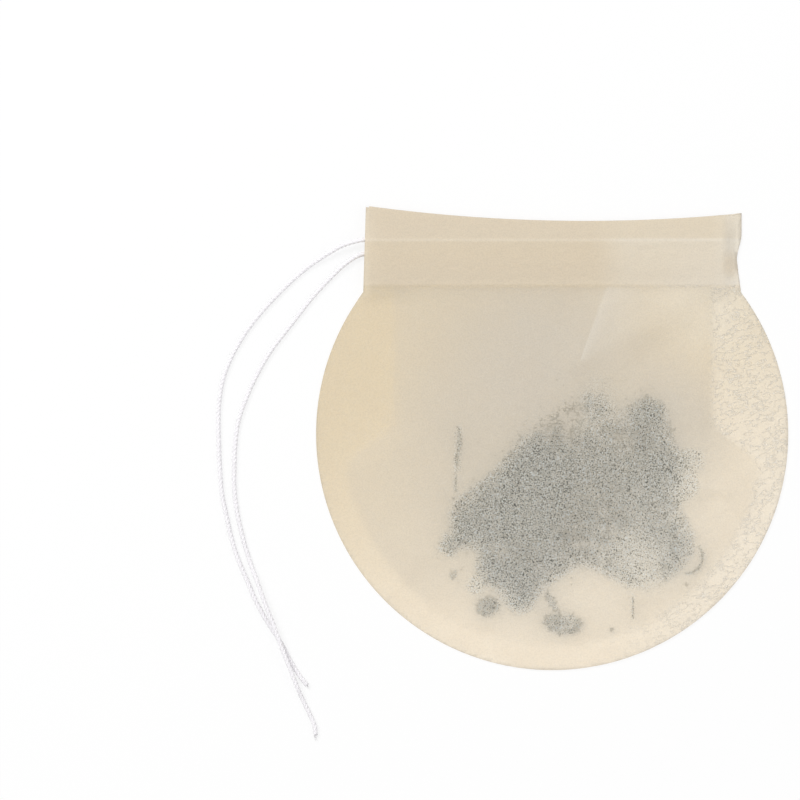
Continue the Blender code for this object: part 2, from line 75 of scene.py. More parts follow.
# Wrinkles: start and end in pocket radii, height, half width
WRINKLES = (
    ((0.26, 0.70), (0.12, 0.33), 0.9 * MM, 2.6 * MM),
    ((0.12, 0.33), (0.37, 0.23), 0.5 * MM, 2.6 * MM),
    ((0.36, 0.46), (0.61, 0.56), 0.5 * MM, 2.6 * MM),
    ((0.74, 0.68), (0.75, 0.10), 0.5 * MM, 2.4 * MM),
    ((0.64, 0.07), (0.89, 0.07), 0.5 * MM, 2.4 * MM),
    ((0.66, -0.26), (0.88, -0.26), 0.5 * MM, 2.4 * MM),
)
STRING = 0.88 * MM
FRONT_RUN = 36.9 * MM
BACK_RUN = 34.8 * MM
RIDGE = 2.2 * MM
RUN_STARTS = -33 * MM
TURN_AT = 31.6 * MM
FLOOR_GAP = 0.05 * MM
NECK_HALF = math.sqrt(DISC_RADIUS**2 - NECK_FOOT**2)
FOLD_RADIUS = PAPER + TOUCH / 2
STRING_ROOM = STRING + 2 * TOUCH

# The view of the photograph: its middle on the table, measured from the disc's, and what it takes in
VIEW_MIDDLE = Vector((-29.0, 6.48)) * MM
VIEW_WIDTH = 152.55 * MM
CAMERA_HEIGHT = 800 * MM

# How finely the paper is divided
FINE_GRID = 0.8 * MM
BACK_GRID = 1.6 * MM
DISC_STEPS = 240
FOLD_STEPS = 6
SHORTEST_EDGE = 0.12 * MM
RIDGE_ROWS = 9

# Unevenness of the paper: height and size of soft waves, and of the rim's crinkle
WAVE, WAVE_SIZE = 0.22 * MM, 11 * MM
RIPPLE, RIPPLE_SIZE = 0.05 * MM, 3.2 * MM
CRINKLE, CRINKLE_SIZE = 0.035 * MM, 1.1 * MM

# Sharp creases of the front sheet: start and end in pocket radii, height, half width
CREASES = (
    ((0.12, 0.32), (0.38, 0.21), -0.35 * MM, 2.6 * MM),
    ((0.66, 0.07), (0.86, 0.06), 0.6 * MM, 1.6 * MM),
    ((0.68, -0.23), (0.85, -0.28), 0.6 * MM, 1.6 * MM),
    ((0.72, -0.02), (0.80, 0.04), -0.35 * MM, 1.2 * MM),
    ((0.70, -0.33), (0.79, -0.29), -0.35 * MM, 1.2 * MM),
    ((0.39, 0.785), (0.66, 0.79), 0.20 * MM, 0.8 * MM),
    ((0.38, 0.885), (0.46, 0.885), 0.22 * MM, 0.5 * MM),
)

# The fold that fans out from one point of the front sheet: the point, the angles in degrees at which
# it leaves the sheet, is highest and comes back to it, and how fast and how far it grows
FAN_FROM = Vector((0.118, 0.32)) * SEAL_RADIUS
FAN_ANGLES = (71, 32, -23)
FAN_SLOPE = 0.045
FAN_GROWS = 14 * MM

# The string: three strands, twisted
STRAND_TURN = 2.6 * MM  # length of one full turn
RING_STEP = 0.32 * MM
RING_SIDES = 18
HELD_RING_STEP = 0.8 * MM
GROOVE = 0.18  # depth of the grooves between the strands, as a share of the radius
HEM_CREST = 0.3 * MM  # the hem's outer paper stands this much above the upper run of string
HEM_FOOT = 1.7 * MM  # and leaves this much room at the hem's edge

# The tea
TEA_OUTLINE = (
    (-0.14, 0.00), (-0.05, 0.07), (0.04, 0.14), (0.16, 0.20), (0.25, 0.17), (0.32, 0.12),
    (0.38, 0.15), (0.46, 0.18), (0.53, 0.14), (0.55, 0.05), (0.59, -0.06), (0.65, -0.10),
    (0.63, -0.17), (0.58, -0.26), (0.62, -0.38), (0.66, -0.47), (0.66, -0.55), (0.61, -0.63),
    (0.55, -0.68), (0.45, -0.73), (0.34, -0.70), (0.24, -0.65), (0.14, -0.61), (0.06, -0.65),
    (-0.03, -0.71), (-0.08, -0.77), (-0.11, -0.82), (-0.17, -0.84), (-0.21, -0.78), (-0.21, -0.73),
    (-0.27, -0.72), (-0.32, -0.69), (-0.35, -0.63), (-0.34, -0.55), (-0.38, -0.52), (-0.44, -0.53),
    (-0.48, -0.57), (-0.53, -0.54), (-0.50, -0.48), (-0.46, -0.47), (-0.48, -0.38), (-0.46, -0.32),
    (-0.39, -0.27), (-0.31, -0.20), (-0.23, -0.12), (-0.19, -0.07),
)
# Where the tea lies thick or thin: middle and radius in pocket radii, and how much it adds
TEA_PILES = (
    ((-0.09, -0.36), 0.20, 0.45), ((-0.12, -0.50), 0.14, 0.40), ((-0.10, -0.12), 0.12, 0.35),
    ((0.49, -0.18), 0.10, 0.40), ((0.46, 0.11), 0.09, 0.50), ((-0.44, -0.49), 0.09, 0.45),
    ((-0.27, -0.66), 0.10, 0.40), ((-0.16, -0.78), 0.07, 0.45), ((0.15, -0.25), 0.16, 0.20),
    ((0.41, -0.58), 0.11, -0.75), ((-0.24, -0.57), 0.05, -0.60), ((0.47, -0.67), 0.045, -0.9),
    ((0.14, 0.12), 0.15, -0.40), ((0.12, -0.56), 0.07, -0.15), ((0.30, 0.02), 0.08, -0.20),
    ((0.62, -0.35), 0.08, -0.25), ((-0.46, -0.38), 0.05, -0.30), ((0.33, -0.69), 0.06, 0.30),
)
HEAP_OUTLINE = [Vector(place) * SEAL_RADIUS for place in TEA_OUTLINE]
TEA_TOP = 12 * MM  # no tea lies above this
TEA_FULLNESS = 0.7  # how much of the room between the sheets the heap fills elsewhere
TEA_CLUMPS, CLUMP_SIZE = 0.6, 2.0 * MM  # unevenness of the heap's top
THINNEST = 0.2  # least share of the room that the heap fills
TEA_EDGE = 3 * MM  # the heap's shoulder rounds off over this length
TEA_CORE = Vector((-0.10, -0.38)) * SEAL_RADIUS  # the tea is darkest here
TEA_ROOM = 0.08 * MM  # least gap between a leaf and the paper
LEAF_COUNT = 3600
GRAIN_COUNT = 5200


def smooth_step(value):
    value = min(max(value, 0.0), 1.0)
    return value * value * (3 - 2 * value)


def fold_shift(x, y):
    """How far the neck's top is shifted along Y by the fold's slope and sag."""
    half = (NECK_RIGHT_TOP - NECK_LEFT_TOP) / 2
    shift = FOLD_SLOPE * x - FOLD_DIP * (1 - min(abs(x) / half, 1.0) ** 2)
    start = FRONT_RUN + STRING / 2
    return shift * smooth_step((y - start) / (FOLD_LINE - start))


HIGHEST = FOLD_LINE + fold_shift(FLAP_LEFT, FOLD_LINE) + FOLD_RADIUS
CENTRE_Y = (DISC_RADIUS - HIGHEST) / 2


def string_ridge(y, run):
    """The extra height of paper that lies over a run of string."""
    across = min(abs(y - run) / RIDGE, 1.0)
    return (STRING_ROOM - TOUCH) * math.cos(across * math.pi / 2) ** 2


def back_flap_height(y):
    return PAPER + TOUCH + string_ridge(y, BACK_RUN)


def front_flap_height(y):
    return back_flap_height(y) + PAPER + TOUCH


def seal_distance(x, y):
    """How far a point lies inside the pocket's seal: under 0 it is on the sealed rim."""
    lower, upper = POCKET_TURN
    neck = smooth_step((y - lower) / (upper - lower))
    round_half = math.sqrt(max(SEAL_RADIUS**2 - y * y, 0.0))
    side = NECK_POCKET * neck + round_half * (1 - neck) - abs(x)
    return side if y > 0 else min(side, SEAL_RADIUS - math.hypot(x, y))


def off_line(x, y, first, last):
    """How far a place is off a line whose ends are in pocket radii, and how far along the line it lies."""
    point = Vector((x, y))
    start, end = Vector(first) * SEAL_RADIUS, Vector(last) * SEAL_RADIUS
    along = end - start
    share = (point - start).dot(along) / along.length_squared
    nearest = start + along * min(max(share, 0.0), 1.0)
    return (point - nearest).length, share


def wrinkle_height(x, y):
    """Ridges of the front sheet, which run out at both ends."""
    total = 0.0
    for first, last, height, half_width in WRINKLES:
        off, _ = off_line(x, y, first, last)
        across = off / half_width
        total += height * math.exp(-across * across)
    return total


def rise(x, y):
    """0 on the sealed rim, and 1 where the front sheet is free of it."""
    return 1 - (1 - min(max(seal_distance(x, y) / RISE_RUN, 0.0), 1.0)) ** 2


def hem_share(y):
    return smooth_step((y - HEM_EDGE + HEM_FADE) / HEM_FADE)


def front_gap(x, y):
    """Room between the back sheet and the front sheet, anywhere on the bag."""
    off_x = (x - TEA_MIDDLE.x) / TEA_SPREAD.x
    off_y = (y - TEA_MIDDLE.y) / TEA_SPREAD.y
    mound = math.exp(-(off_x**2 + off_y**2))
    pocket = TOUCH + rise(x, y) * (BILLOW + TEA_RISE * mound + wrinkle_height(x, y))
    start, end = HEM_CLOSES
    stack = TOUCH + (hem_top(y) - TOUCH) * (1 - smooth_step((x - start) / (end - start)))
    in_hem = hem_share(y)
    return pocket * (1 - in_hem) + stack * in_hem


def hem_top(y):
    """The hem's outer paper, drawn straight from the upper run of string to the fold and to the edge."""
    crest = front_flap_height(FRONT_RUN) + TOUCH + string_ridge(FRONT_RUN, FRONT_RUN) + HEM_CREST
    foot = front_flap_height(FOLD_LINE) + TOUCH if y > FRONT_RUN else HEM_FOOT
    end = FOLD_LINE if y > FRONT_RUN else HEM_EDGE
    return foot + (crest - foot) * min(max((y - end) / (FRONT_RUN - end), 0.0), 1.0)


def fan_height(x, y):
    """The fanned fold, which is highest along its middle angle."""
    off = Vector((x, y)) - FAN_FROM
    angle = math.degrees(math.atan2(off.y, off.x))
    first, ridge, last = FAN_ANGLES
    if not last < angle < first:
        return 0.0
    share = (first - angle) / (first - ridge) if angle > ridge else (angle - last) / (ridge - last)
    near = smooth_step(off.length / (2 * MM)) * (1 - hem_share(y))
    rounded = math.sin(share * math.pi / 2)
    return FAN_SLOPE * min(off.length, FAN_GROWS) * rounded * rise(x, y) * near


def crease_height(x, y):
    """Tent-shaped folds with a crisp line along the middle, which run out at both ends."""
    total = 0.0
    for first, last, height, half_width in CREASES:
        off, share = off_line(x, y, first, last)
        across = off / half_width
        if across < 1:
            ends = smooth_step((1 - abs(2 * share - 1)) * 3 + 0.3)
            total += height * (1 - across) * ends
    return total


def paper_waves(x, y):
    """Soft waves and ripples of the front sheet. Only the crinkle is left on the rim and in the hem."""
    free = rise(x, y) * (1 - hem_share(y))
    wave = WAVE * noise.noise(Vector((x, y, 0)) / WAVE_SIZE)
    ripple = RIPPLE * noise.noise(Vector((x, y, RIPPLE_SIZE)) / RIPPLE_SIZE)
    crinkle = CRINKLE * noise.noise(Vector((x, y, 2 * CRINKLE_SIZE)) / CRINKLE_SIZE)
    crinkle *= (1 - hem_share(y)) * smooth_step(x / SEAL_RADIUS)
    return (wave + ripple) * free + crinkle + crease_height(x, y) * max(free, hem_share(y))


def front_height(x, y):
    return PAPER + front_gap(x, y) + paper_waves(x, y) + fan_height(x, y)


def back_height(x, y):
    return 0.0


def back_strip_height(y):
    return back_flap_height(y) + PAPER


# Materials


class Wire:
    """An output in a material's nodes. Arithmetic on it adds Math nodes."""

    def __init__(self, finish, socket):
        self.finish = finish
        self.socket = socket

    def __add__(self, other):
        return self.finish.math("ADD", self, other)

    def __radd__(self, other):
        return self.finish.math("ADD", other, self)

    def __sub__(self, other):
        return self.finish.math("SUBTRACT", self, other)

    def __rsub__(self, other):
        return self.finish.math("SUBTRACT", other, self)

    def __mul__(self, other):
        return self.finish.math("MULTIPLY", self, other)

    def __rmul__(self, other):
        return self.finish.math("MULTIPLY", other, self)


class Finish:
    """A new material or the white surroundings, and the way to add nodes to it."""

    def __init__(self, owner):
        self.owner = owner
        owner.use_nodes = True
        self.tree = owner.node_tree
        self.tree.nodes.clear()

    def add(self, kind, settings=None, sockets=None, output=0):
        """Adds a node, sets its settings first and then its sockets, and gives one of its outputs."""
        node = self.tree.nodes.new("ShaderNode" + kind)
        for name, value in (settings or {}).items():
            setattr(node, name, value)
        for name, value in (sockets or {}).items():
            if isinstance(value, Wire):
                self.tree.links.new(value.socket, node.inputs[name])
            else:
                node.inputs[name].default_value = value
        return Wire(self, node.outputs[output]) if node.outputs else None

    def math(self, operation, *values):
        return self.add("Math", {"operation": operation}, dict(enumerate(values)))

    def place(self):
        """The point on the object in millimetres."""
        point = self.add("TexCoord", output="Object")
        return self.add("VectorMath", {"operation": "SCALE"}, {0: point, "Scale": 1 / MM})

    def parts(self, point):
        node = self.add("SeparateXYZ", sockets={0: point}).socket.node
        return [Wire(self, node.outputs[i]) for i in range(3)]

    def distance(self, x, y):
        return self.math("SQRT", x * x + y * y)

    def patch(self, x, y, middle, squeeze, near, far):
        """A soft oval patch: 1 up to near from its middle, and 0 from far. A squeeze under 1 stretches it."""
        off_x, off_y = (x - middle[0]) * squeeze[0], (y - middle[1]) * squeeze[1]
        return 1 - self.between(self.distance(off_x, off_y), near, far)

    def cloud(self, point, size, detail=2.0, roughness=0.5):
        """Noise from 0 to 1 with forms of about that size."""
        sockets = {"Vector": point, "Scale": 1 / size, "Detail": detail, "Roughness": roughness}
        return self.add("TexNoise", sockets=sockets)

    def stretched(self, point, angle, length, width, shift=0.0):
        """Coordinates that turn an even noise into streaks along an angle in degrees."""
        settings = {"vector_type": "TEXTURE"}
        sockets = {
            "Vector": point,
            "Location": (shift, shift, 0),
            "Rotation": (0, 0, math.radians(angle)),
            "Scale": (length, width, 1),
        }
        return self.add("Mapping", settings, sockets)

    def between(self, value, low, high):
        """0 up to low, 1 from high, and smooth in between."""
        settings = {"interpolation_type": "SMOOTHSTEP"}
        sockets = {"Value": value, "From Min": low, "From Max": high}
        return self.add("MapRange", settings, sockets)

    def blend(self, share, first, second, how="MIX"):
        settings = {"data_type": "RGBA", "blend_type": how}
        return self.add("Mix", settings, {0: share, 6: first, 7: second}, 2)

    def bump(self, height, distance, strength=1.0, under=None):
        sockets = {"Height": height, "Distance": distance, "Strength": strength}
        if under is not None:
            sockets["Normal"] = under
        return self.add("Bump", sockets=sockets)

    def finish(self, shader, output="OutputMaterial"):
        self.add(output, sockets={"Surface": shader})
        return self.owner


def new_finish(name):
    return Finish(bpy.data.materials.new(name))


def colour(red, green, blue):
    return (red, green, blue, 1)


PAPER_WARM = colour(0.88, 0.775, 0.58)
PAPER_PALE = colour(1.0, 0.92, 0.785)
PAPER_GREY = colour(0.755, 0.70, 0.61)
PAPER_BROWN = colour(0.80, 0.67, 0.49)
PAPER_BRIGHT = colour(1.0, 0.97, 0.90)
PAPER_HEM = colour(0.885, 0.81, 0.70)
TEA_PAINTED_SHADE = colour(0.52, 0.57, 0.58)  # painted shade where the tea lies behind the paper
TEA_SPECK = colour(0.07, 0.085, 0.08)
TEA_GLINT = colour(0.94, 0.97, 0.95)  # threads of the paper that stay pale over the tea, free of its painted shade
COTTON_SHADE, COTTON_WHITE = colour(0.91, 0.89, 0.92), colour(1.0, 0.985, 1.0)
LINT_SHADE, LINT_WHITE = colour(0.84, 0.82, 0.84), colour(0.93, 0.92, 0.93)
LEAF_DARK, LEAF_PALE = colour(0.02, 0.027, 0.026), colour(0.065, 0.08, 0.07)
LEAF_DUST = colour(0.34, 0.39, 0.37)
SHARE_THROUGH, THROUGH_HEM = 0.45, 0.25  # of the light that doesn't pass the pores
PORES_PLAIN, PORES_HEM = 0.30, 0.10  # how open the paper is
PORES_UNEVEN = 0.05
PORES_ON_TEA = 0.26  # how much more uneven the paper is where dust of the tea fills some pores
PORES_FILLED = 0.15  # how much less open it is there

# Sizes in the paper, in millimetres
FIBRE_ANGLES, FIBRE_SIZE = (12, 58, 101, 147), (2.6, 0.16)
FLAKE_SIZE = (2.4, 1.2)  # of the crackled rim
SPECK_SIZE, PORE_SIZE = 0.26, 0.30
SPECKS, GLINTS = (0.60, 0.68), (0.37, 0.45)  # which levels of the noise they take up

# Soft patches of another tone, where the grey ones are painted shade and the bright corner is painted light:
# middle, squeeze, and the distances between which they fade out
GREY_MIDDLE = ((0.0, 12.0), (1.0, 1.2), 6.0, 34.0)
GREY_RIGHT = ((24.0, 1.0), (0.8, 0.75), 3.0, 13.0)
GREY_LEFT = ((-21.0, -4.0), (1.0, 0.7), 3.0, 14.0)
BRIGHT_CORNER = ((29.0, 25.0), (1.0, 1.0), 2.0, 13.0)
HEM_SPOT = ((34.0, 32.2), (1.0, 0.7), 0.4, 2.6)
HEM_LIGHTENS, HEM_SEAM = (7.0, 15.0), (31.8, 34.2)  # between these places across
HEM_DARKENS, STRING_LINE = (1.0, 7.5), (0.1, 0.4)  # between these distances from the upper string: painted shade towards the hem's foot, and a painted highlight along the string's ridge


def fan_sides(paper, x, y):
    """How lit and how shaded a place is by the fanned fold, each from 0 to 1."""
    off_x, off_y = x - FAN_FROM.x / MM, y - FAN_FROM.y / MM
    angle = paper.math("ARCTAN2", off_y, off_x) * (180 / math.pi)
    reach = paper.distance(off_x, off_y)
    first, ridge, last = FAN_ANGLES
    turned = paper.between(angle, ridge - 12, ridge + 10)
    edge = (1 - paper.between(angle, first - 3, first + 1)) * paper.between(reach, 0.3, 2.0)
    lit = edge * turned * (paper.between(angle, first - 28, first - 3) * 0.5 + 0.5)
    spread = paper.between(reach, 1.0, 5.0) * (1 - paper.between(reach, 11.0, 27.0))
    return lit, (1 - turned) * paper.between(angle, last, last + 25) * spread


def crossed_fibres(paper, place):
    """Long fibres that lie across each other, 1 where one is seen."""
    fibres = None
    for i, angle in enumerate(FIBRE_ANGLES):
        streaks = paper.cloud(paper.stretched(place, angle, *FIBRE_SIZE, 7.0 * i), 1.0, 1.0)
        thin = paper.between(streaks, 0.60, 0.74)
        fibres = thin if fibres is None else paper.math("MAXIMUM", fibres, thin)
    return fibres


def hem_tone(paper, tone, x, y, hem):
    """The doubled paper of the hem: its tone changes at the string, where a painted highlight runs along its
    ridge, towards its foot, which painted shade darkens, and to the right.
    """
    run = FRONT_RUN / MM
    right = paper.between(x, *HEM_LIGHTENS)
    above_run = paper.between(y, run, run + 0.7)
    low = paper.between(run - y, *HEM_DARKENS)
    tone = paper.blend(hem * 0.4, tone, PAPER_HEM)
    # Painted shade: the hem greys towards its foot, below the string's ridge (low).
    tone = paper.blend((above_run * (0.3 - right * 0.12) + low * 0.25) * hem, tone, PAPER_GREY)
    tone = paper.blend((above_run * 0.02 + 0.2) * hem * (1 - right), tone, PAPER_BROWN)
    lighter = (1 - above_run) * (0.24 - low * 0.1) * right + paper.between(x, *HEM_SEAM) * 0.35
    tone = paper.blend(lighter * hem, tone, PAPER_BRIGHT)
    # Painted highlight along the ridge that the upper run of string raises in the hem.
    painted_ridge_highlight = 1 - paper.between(paper.math("ABSOLUTE", y - run), *STRING_LINE)
    tone = paper.blend(painted_ridge_highlight * hem * 0.12, tone, PAPER_BRIGHT)
    return paper.blend(paper.patch(x, y, *HEM_SPOT) * 0.4, tone, PAPER_BROWN)


def tea_tone(paper, tone, place, tea):
    """The paper where tea lies against it: a veil of painted shade, dark specks, and threads that stay pale.
    """
    # Painted shade of the tea seen through the paper, soft at its edge.
    tone = paper.blend(tea * 0.28, tone, TEA_PAINTED_SHADE)
    grains = paper.cloud(place, SPECK_SIZE, 1.0, 0.6)
    on_tea = paper.between(tea, 0.05, 0.45)
    specks = paper.between(grains + tea * 0.04, *SPECKS) * on_tea
    tone = paper.blend(specks * 0.82, tone, TEA_SPECK)
    return paper.blend((1 - paper.between(grains, *GLINTS)) * on_tea * 0.85, tone, TEA_GLINT)


def paper_finish(name, crinkled):
    """Unbleached filter paper: crossed long fibres, clouds of pulp, pores that show what is behind, and
    painted light and shade in its tone.
    """
    paper = new_finish(name)
    place = paper.place()
    x, y, _ = paper.parts(place)
    y = y - CENTRE_Y / MM
    tea, pocket, _ = paper.parts(paper.add("Attribute", {"attribute_name": MARKS}, output="Vector"))
    clouds = paper.cloud(place, 5.0, 3.0)
    pulp = paper.cloud(place, 0.9, 2.0)
    fibres = crossed_fibres(paper, place)
    hem = paper.between(y, HEM_EDGE / MM - 0.5, HEM_EDGE / MM + 0.3)
    # Painted light and shade: the paper is drawn darker and warmer towards the upper left and paler towards
    # the lower right.
    painted_light_lower_right = paper.between(x * 0.45 - y + clouds * 8.0, -26.0, 42.0)
    tone = paper.blend(painted_light_lower_right, PAPER_WARM, PAPER_PALE)
    # Painted shade: the pocket greys in soft patches in its middle, beside the tea on the right and left, and
    # towards the upper left.
    painted_shade = paper.patch(x, y, *GREY_MIDDLE) * 0.55 + paper.between(y - x * 1.4, -14.0, 14.0) * 0.3
    painted_shade = painted_shade + paper.patch(x, y, *GREY_RIGHT) * (1 - tea) * 0.5 + paper.patch(x, y, *GREY_LEFT) * 0.2
    tone = paper.blend(painted_shade * pocket, tone, PAPER_GREY)
    tone = paper.blend(clouds * 0.3 - 0.08, tone, PAPER_BROWN)
    tone = paper.blend(fibres * 0.12, tone, PAPER_BRIGHT)
    # Painted light that brightens the pocket's upper right corner.
    tone = paper.blend(paper.patch(x, y, *BRIGHT_CORNER) * 0.3, tone, PAPER_BRIGHT)
    tone = hem_tone(paper, tone, x, y, hem)
    normal = paper.bump(pulp * 0.6 + fibres, 0.03 * MM, 0.5)
    if crinkled:
        right_rim = (1 - pocket) * (1 - hem) * paper.between(x, 4.0, 34.0)
        flakes = paper.cloud(paper.stretched(place, 20, *FLAKE_SIZE), 1.0, 3.0, 0.6)
        veins = 1 - paper.between(paper.math("ABSOLUTE", flakes - 0.5), 0.005, 0.035)
        raised = veins * paper.between(pulp, 0.36, 0.50) * right_rim
        # Painted light: the right rim is drawn lighter, and its raised flakes carry painted highlights.
        tone = paper.blend(right_rim * 0.3 + raised * 0.7, tone, PAPER_BRIGHT)
        normal = paper.bump(raised + flakes, 0.16 * MM, 0.9, normal)
        lit, shaded = fan_sides(paper, x, y)
        tone = paper.blend(lit * pocket * 0.4, tone, PAPER_BRIGHT)
        tone = paper.blend(shaded * pocket * 0.25, tone, PAPER_GREY)
    tone = tea_tone(paper, tone, place, tea)
    open_pores = paper.between(paper.cloud(place, PORE_SIZE, 1.0, 0.6), 0.40, 0.66) - 0.5
    even = hem * (PORES_HEM - PORES_PLAIN) + PORES_PLAIN - tea * PORES_FILLED
    pores = open_pores * (tea * PORES_ON_TEA + PORES_UNEVEN) + even
    share_through = hem * (THROUGH_HEM - SHARE_THROUGH) + SHARE_THROUGH
    sheen = {"Base Color": tone, "Roughness": 0.85, "Specular IOR Level": 0.25, "Normal": normal}
    front = paper.add("BsdfPrincipled", sockets=sheen)
    through = paper.add("BsdfTranslucent", sockets={"Color": tone, "Normal": normal})
    solid = paper.add("MixShader", sockets={0: share_through, 1: front, 2: through})
    clear = paper.add("BsdfTransparent")
    return paper.finish(paper.add("MixShader", sockets={0: pores, 1: solid, 2: clear}))


def cotton_finish():
    """Bleached cotton: fine fibres that run with the strands, darker in the grooves between them."""
    cotton = new_finish("cotton_string")
    where = cotton.add("UVMap", {"uv_map": "along_string"})
    around, along, _ = cotton.parts(where)
    strand = cotton.math("COSINE", around * (6 * math.pi)) * 0.5 + 0.5
    slanted = cotton.add("CombineXYZ", sockets={0: around * 26.0 + along * 2400.0, 1: along * 900.0})
    fibres = cotton.cloud(slanted, 1.0, 3.0, 0.6)
    tone = cotton.blend(strand * 0.7 + fibres * 0.4 - 0.1, COTTON_SHADE, COTTON_WHITE)
    normal = cotton.bump(fibres, 0.04 * MM, 0.4)
    sockets = {"Base Color": tone, "Roughness": 0.9, "Specular IOR Level": 0.2, "Normal": normal}
    return cotton.finish(cotton.add("BsdfPrincipled", sockets=sockets))


def fuzz_finish():
    """Loose cotton fibres that stand off the string."""
    fuzz = new_finish("cotton_fibre")
    lint = fuzz.cloud(fuzz.place(), 0.6, 2.0)
    tone = fuzz.blend(lint, LINT_SHADE, LINT_WHITE)
    sockets = {"Base Color": tone, "Roughness": 0.9, "Specular IOR Level": 0.2}
    return fuzz.finish(fuzz.add("BsdfPrincipled", sockets=sockets))


def tea_finish():
    """Dried green tea: dark rolled leaf with paler veins and dusty edges."""
    tea = new_finish("dried_tea")
    place = tea.place()
    leaf_by_leaf = tea.cloud(place, 1.4, 1.0)
    dust = tea.cloud(place, 0.25, 3.0, 0.6)
    tone = tea.blend(tea.between(leaf_by_leaf, 0.38, 0.62), LEAF_DARK, LEAF_PALE)
    x, y, _ = tea.parts(place)
    from_core = tea.distance(x - TEA_CORE.x / MM, y - (TEA_CORE.y + CENTRE_Y) / MM)
    dusty = tea.between(from_core, 4.0, 24.0)
    tone = tea.blend(tea.between(dust, 0.48, 0.60) * (dusty * 0.6 + 0.4), tone, LEAF_DUST)
    normal = tea.bump(dust, 0.08 * MM, 0.7)
    rough = tea.between(dust, 0.3, 0.7) * 0.2 + 0.7
    sockets = {"Base Color": tone, "Roughness": rough, "Specular IOR Level": 0.3, "Normal": normal}
    return tea.finish(tea.add("BsdfPrincipled", sockets=sockets))


# Building


def new_piece(name, mesh, finish, slot, *nodes):
    """Puts a piece in the scene, on the bag's one body, in place of the CAD nodes it stands for."""
    mesh.materials.clear()
    mesh.materials.append(finish)
    piece = bpy.data.objects.new(name, mesh)
    bpy.context.scene.collection.objects.link(piece)
    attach(piece, "root")
    if nodes:
        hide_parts(*nodes)
    return piece


def mesh_of(bm, name, smooth=True):
    mesh = bpy.data.meshes.new(name)
    bm.to_mesh(mesh)
    bm.free()
    if smooth:
        mesh.shade_smooth()
    return mesh


def steps_between(start, end, step):
    """Evenly spaced places between two values, without the ends."""
    count = max(round((end - start) / step), 1)
    return [start + (end - start) * i / count for i in range(1, count)]


def cut_lines(bm, axis, places):
    """Divides the flat shape along lines across the X or Y axis."""
    normal = Vector((1, 0, 0)) if axis == 0 else Vector((0, 1, 0))
    for place in places:
        everything = bm.verts[:] + bm.edges[:] + bm.faces[:]
        bmesh.ops.bisect_plane(bm, geom=everything, dist=1e-7, plane_co=normal * place, plane_no=normal)


def flat_outline():
    """The sheet as it is cut, before it is folded: disc, neck, and the strip beyond the fold."""
    strip_end = 2 * FOLD_LINE + math.pi * FOLD_RADIUS - HEM_EDGE
    foot_angle = math.atan2(NECK_FOOT, NECK_HALF)
    points = []
    for i in range(DISC_STEPS + 1):
        angle = math.pi - foot_angle + (math.pi + 2 * foot_angle) * i / DISC_STEPS
        points.append((DISC_RADIUS * math.cos(angle), DISC_RADIUS * math.sin(angle)))
    for i in range(PINCH_STEPS + 1):
        share = i / PINCH_STEPS
        x = NECK_RIGHT_PINCH + (NECK_RIGHT_TOP - NECK_RIGHT_PINCH) * smooth_step(share)
        points.append((x, PINCH_FOOT + (PINCH_TOP + PINCH_SOFT - PINCH_FOOT) * share))
    points += [
        (NECK_RIGHT_TOP, FOLD_LINE + math.pi * FOLD_RADIUS / 2),
        (FLAP_RIGHT, FOLD_LINE + math.pi * FOLD_RADIUS / 2),
        (FLAP_RIGHT, strip_end),
        (FLAP_LEFT, strip_end),
        (FLAP_LEFT, FOLD_LINE),
        (NECK_LEFT_TOP, FOLD_LINE),
    ]
    return points, strip_end


def flat_area(points):
    total = 0.0
    for (x0, y0), (x1, y1) in zip(points, points[1:] + points[:1]):
        total += (x0 * y1 - x1 * y0) / 2
    return abs(total)


MARKS = "paper_marks"
VEIL_REACH = 1.6 * MM  # the tea's edge is seen softly, this far to either side
# Where the paper shows more or less of the tea behind it, in its painted shade, specks and pores: middle and
# radius in pocket radii, and how much more
TEA_SHADE_SPOTS = (
    ((0.66, -0.12), 0.06, 0.45), ((0.62, -0.24), 0.07, 0.60), ((0.43, -0.56), 0.13, 0.35),
    ((0.22, 0.20), 0.10, 0.20), ((-0.36, -0.71), 0.05, 0.45), ((-0.22, -0.76), 0.05, 0.30),
    ((0.19, -0.38), 0.17, -0.38), ((0.02, 0.04), 0.13, -0.38), ((0.40, -0.02), 0.12, -0.32),
    ((-0.13, -0.55), 0.09, -0.32), ((0.05, -0.48), 0.10, -0.25), ((-0.08, -0.31), 0.15, 0.20),
)


def paper_marks(x, y):
    """How much tea lies behind a place of the paper, and whether it is on the pocket, as red and green."""
    if y > HEM_EDGE:
        return (0.0, 0.0, 0.0, 1.0)
    place = Vector((x, y))
    tea = 0.0
    if abs(x) < SEAL_RADIUS and y < TEA_TOP:
        inside = distance_inside(place, HEAP_OUTLINE)
        reach = VEIL_REACH * (1 + 1.2 * scattered(place))
        tea = tea_fullness(place, 0.2) * smooth_step((inside + VEIL_REACH) / (VEIL_REACH + reach))
        for middle, radius, more in TEA_SHADE_SPOTS:
            off = (place / SEAL_RADIUS - Vector(middle)).length / radius
            tea += more * math.exp(-(off**4))
        tea = min(max(tea, 0.0), 1.0)
        for _, _, middle, half, turn, _, _ in LOOSE_TEA:
            off = place - Vector(middle) * SEAL_RADIUS
            off.rotate(Matrix.Rotation(math.radians(-turn), 2))
            out = math.hypot(off.x / half[0], off.y / half[1]) / MM
            tea = max(tea, 0.38 * smooth_step((1.4 - out) * 1.5))
        for _, stem, diameter in TEA_STEMS:
            out = max(-distance_inside(place, [Vector(p) * SEAL_RADIUS for p in stem]), 0) / diameter
            tea = max(tea, 0.35 * smooth_step(1.3 - out))
        off = place - CURL_MIDDLE
        if CURL_TURN[0] < math.degrees(math.atan2(off.y, off.x)) < CURL_TURN[1]:
            tea = max(tea, 0.35 * smooth_step(1.3 - abs(off.length - CURL_RADIUS) / (0.7 * MM)))
    pocket = smooth_step(seal_distance(x, y) / (1.5 * MM))
    return (tea, pocket, 0.0, 1.0)


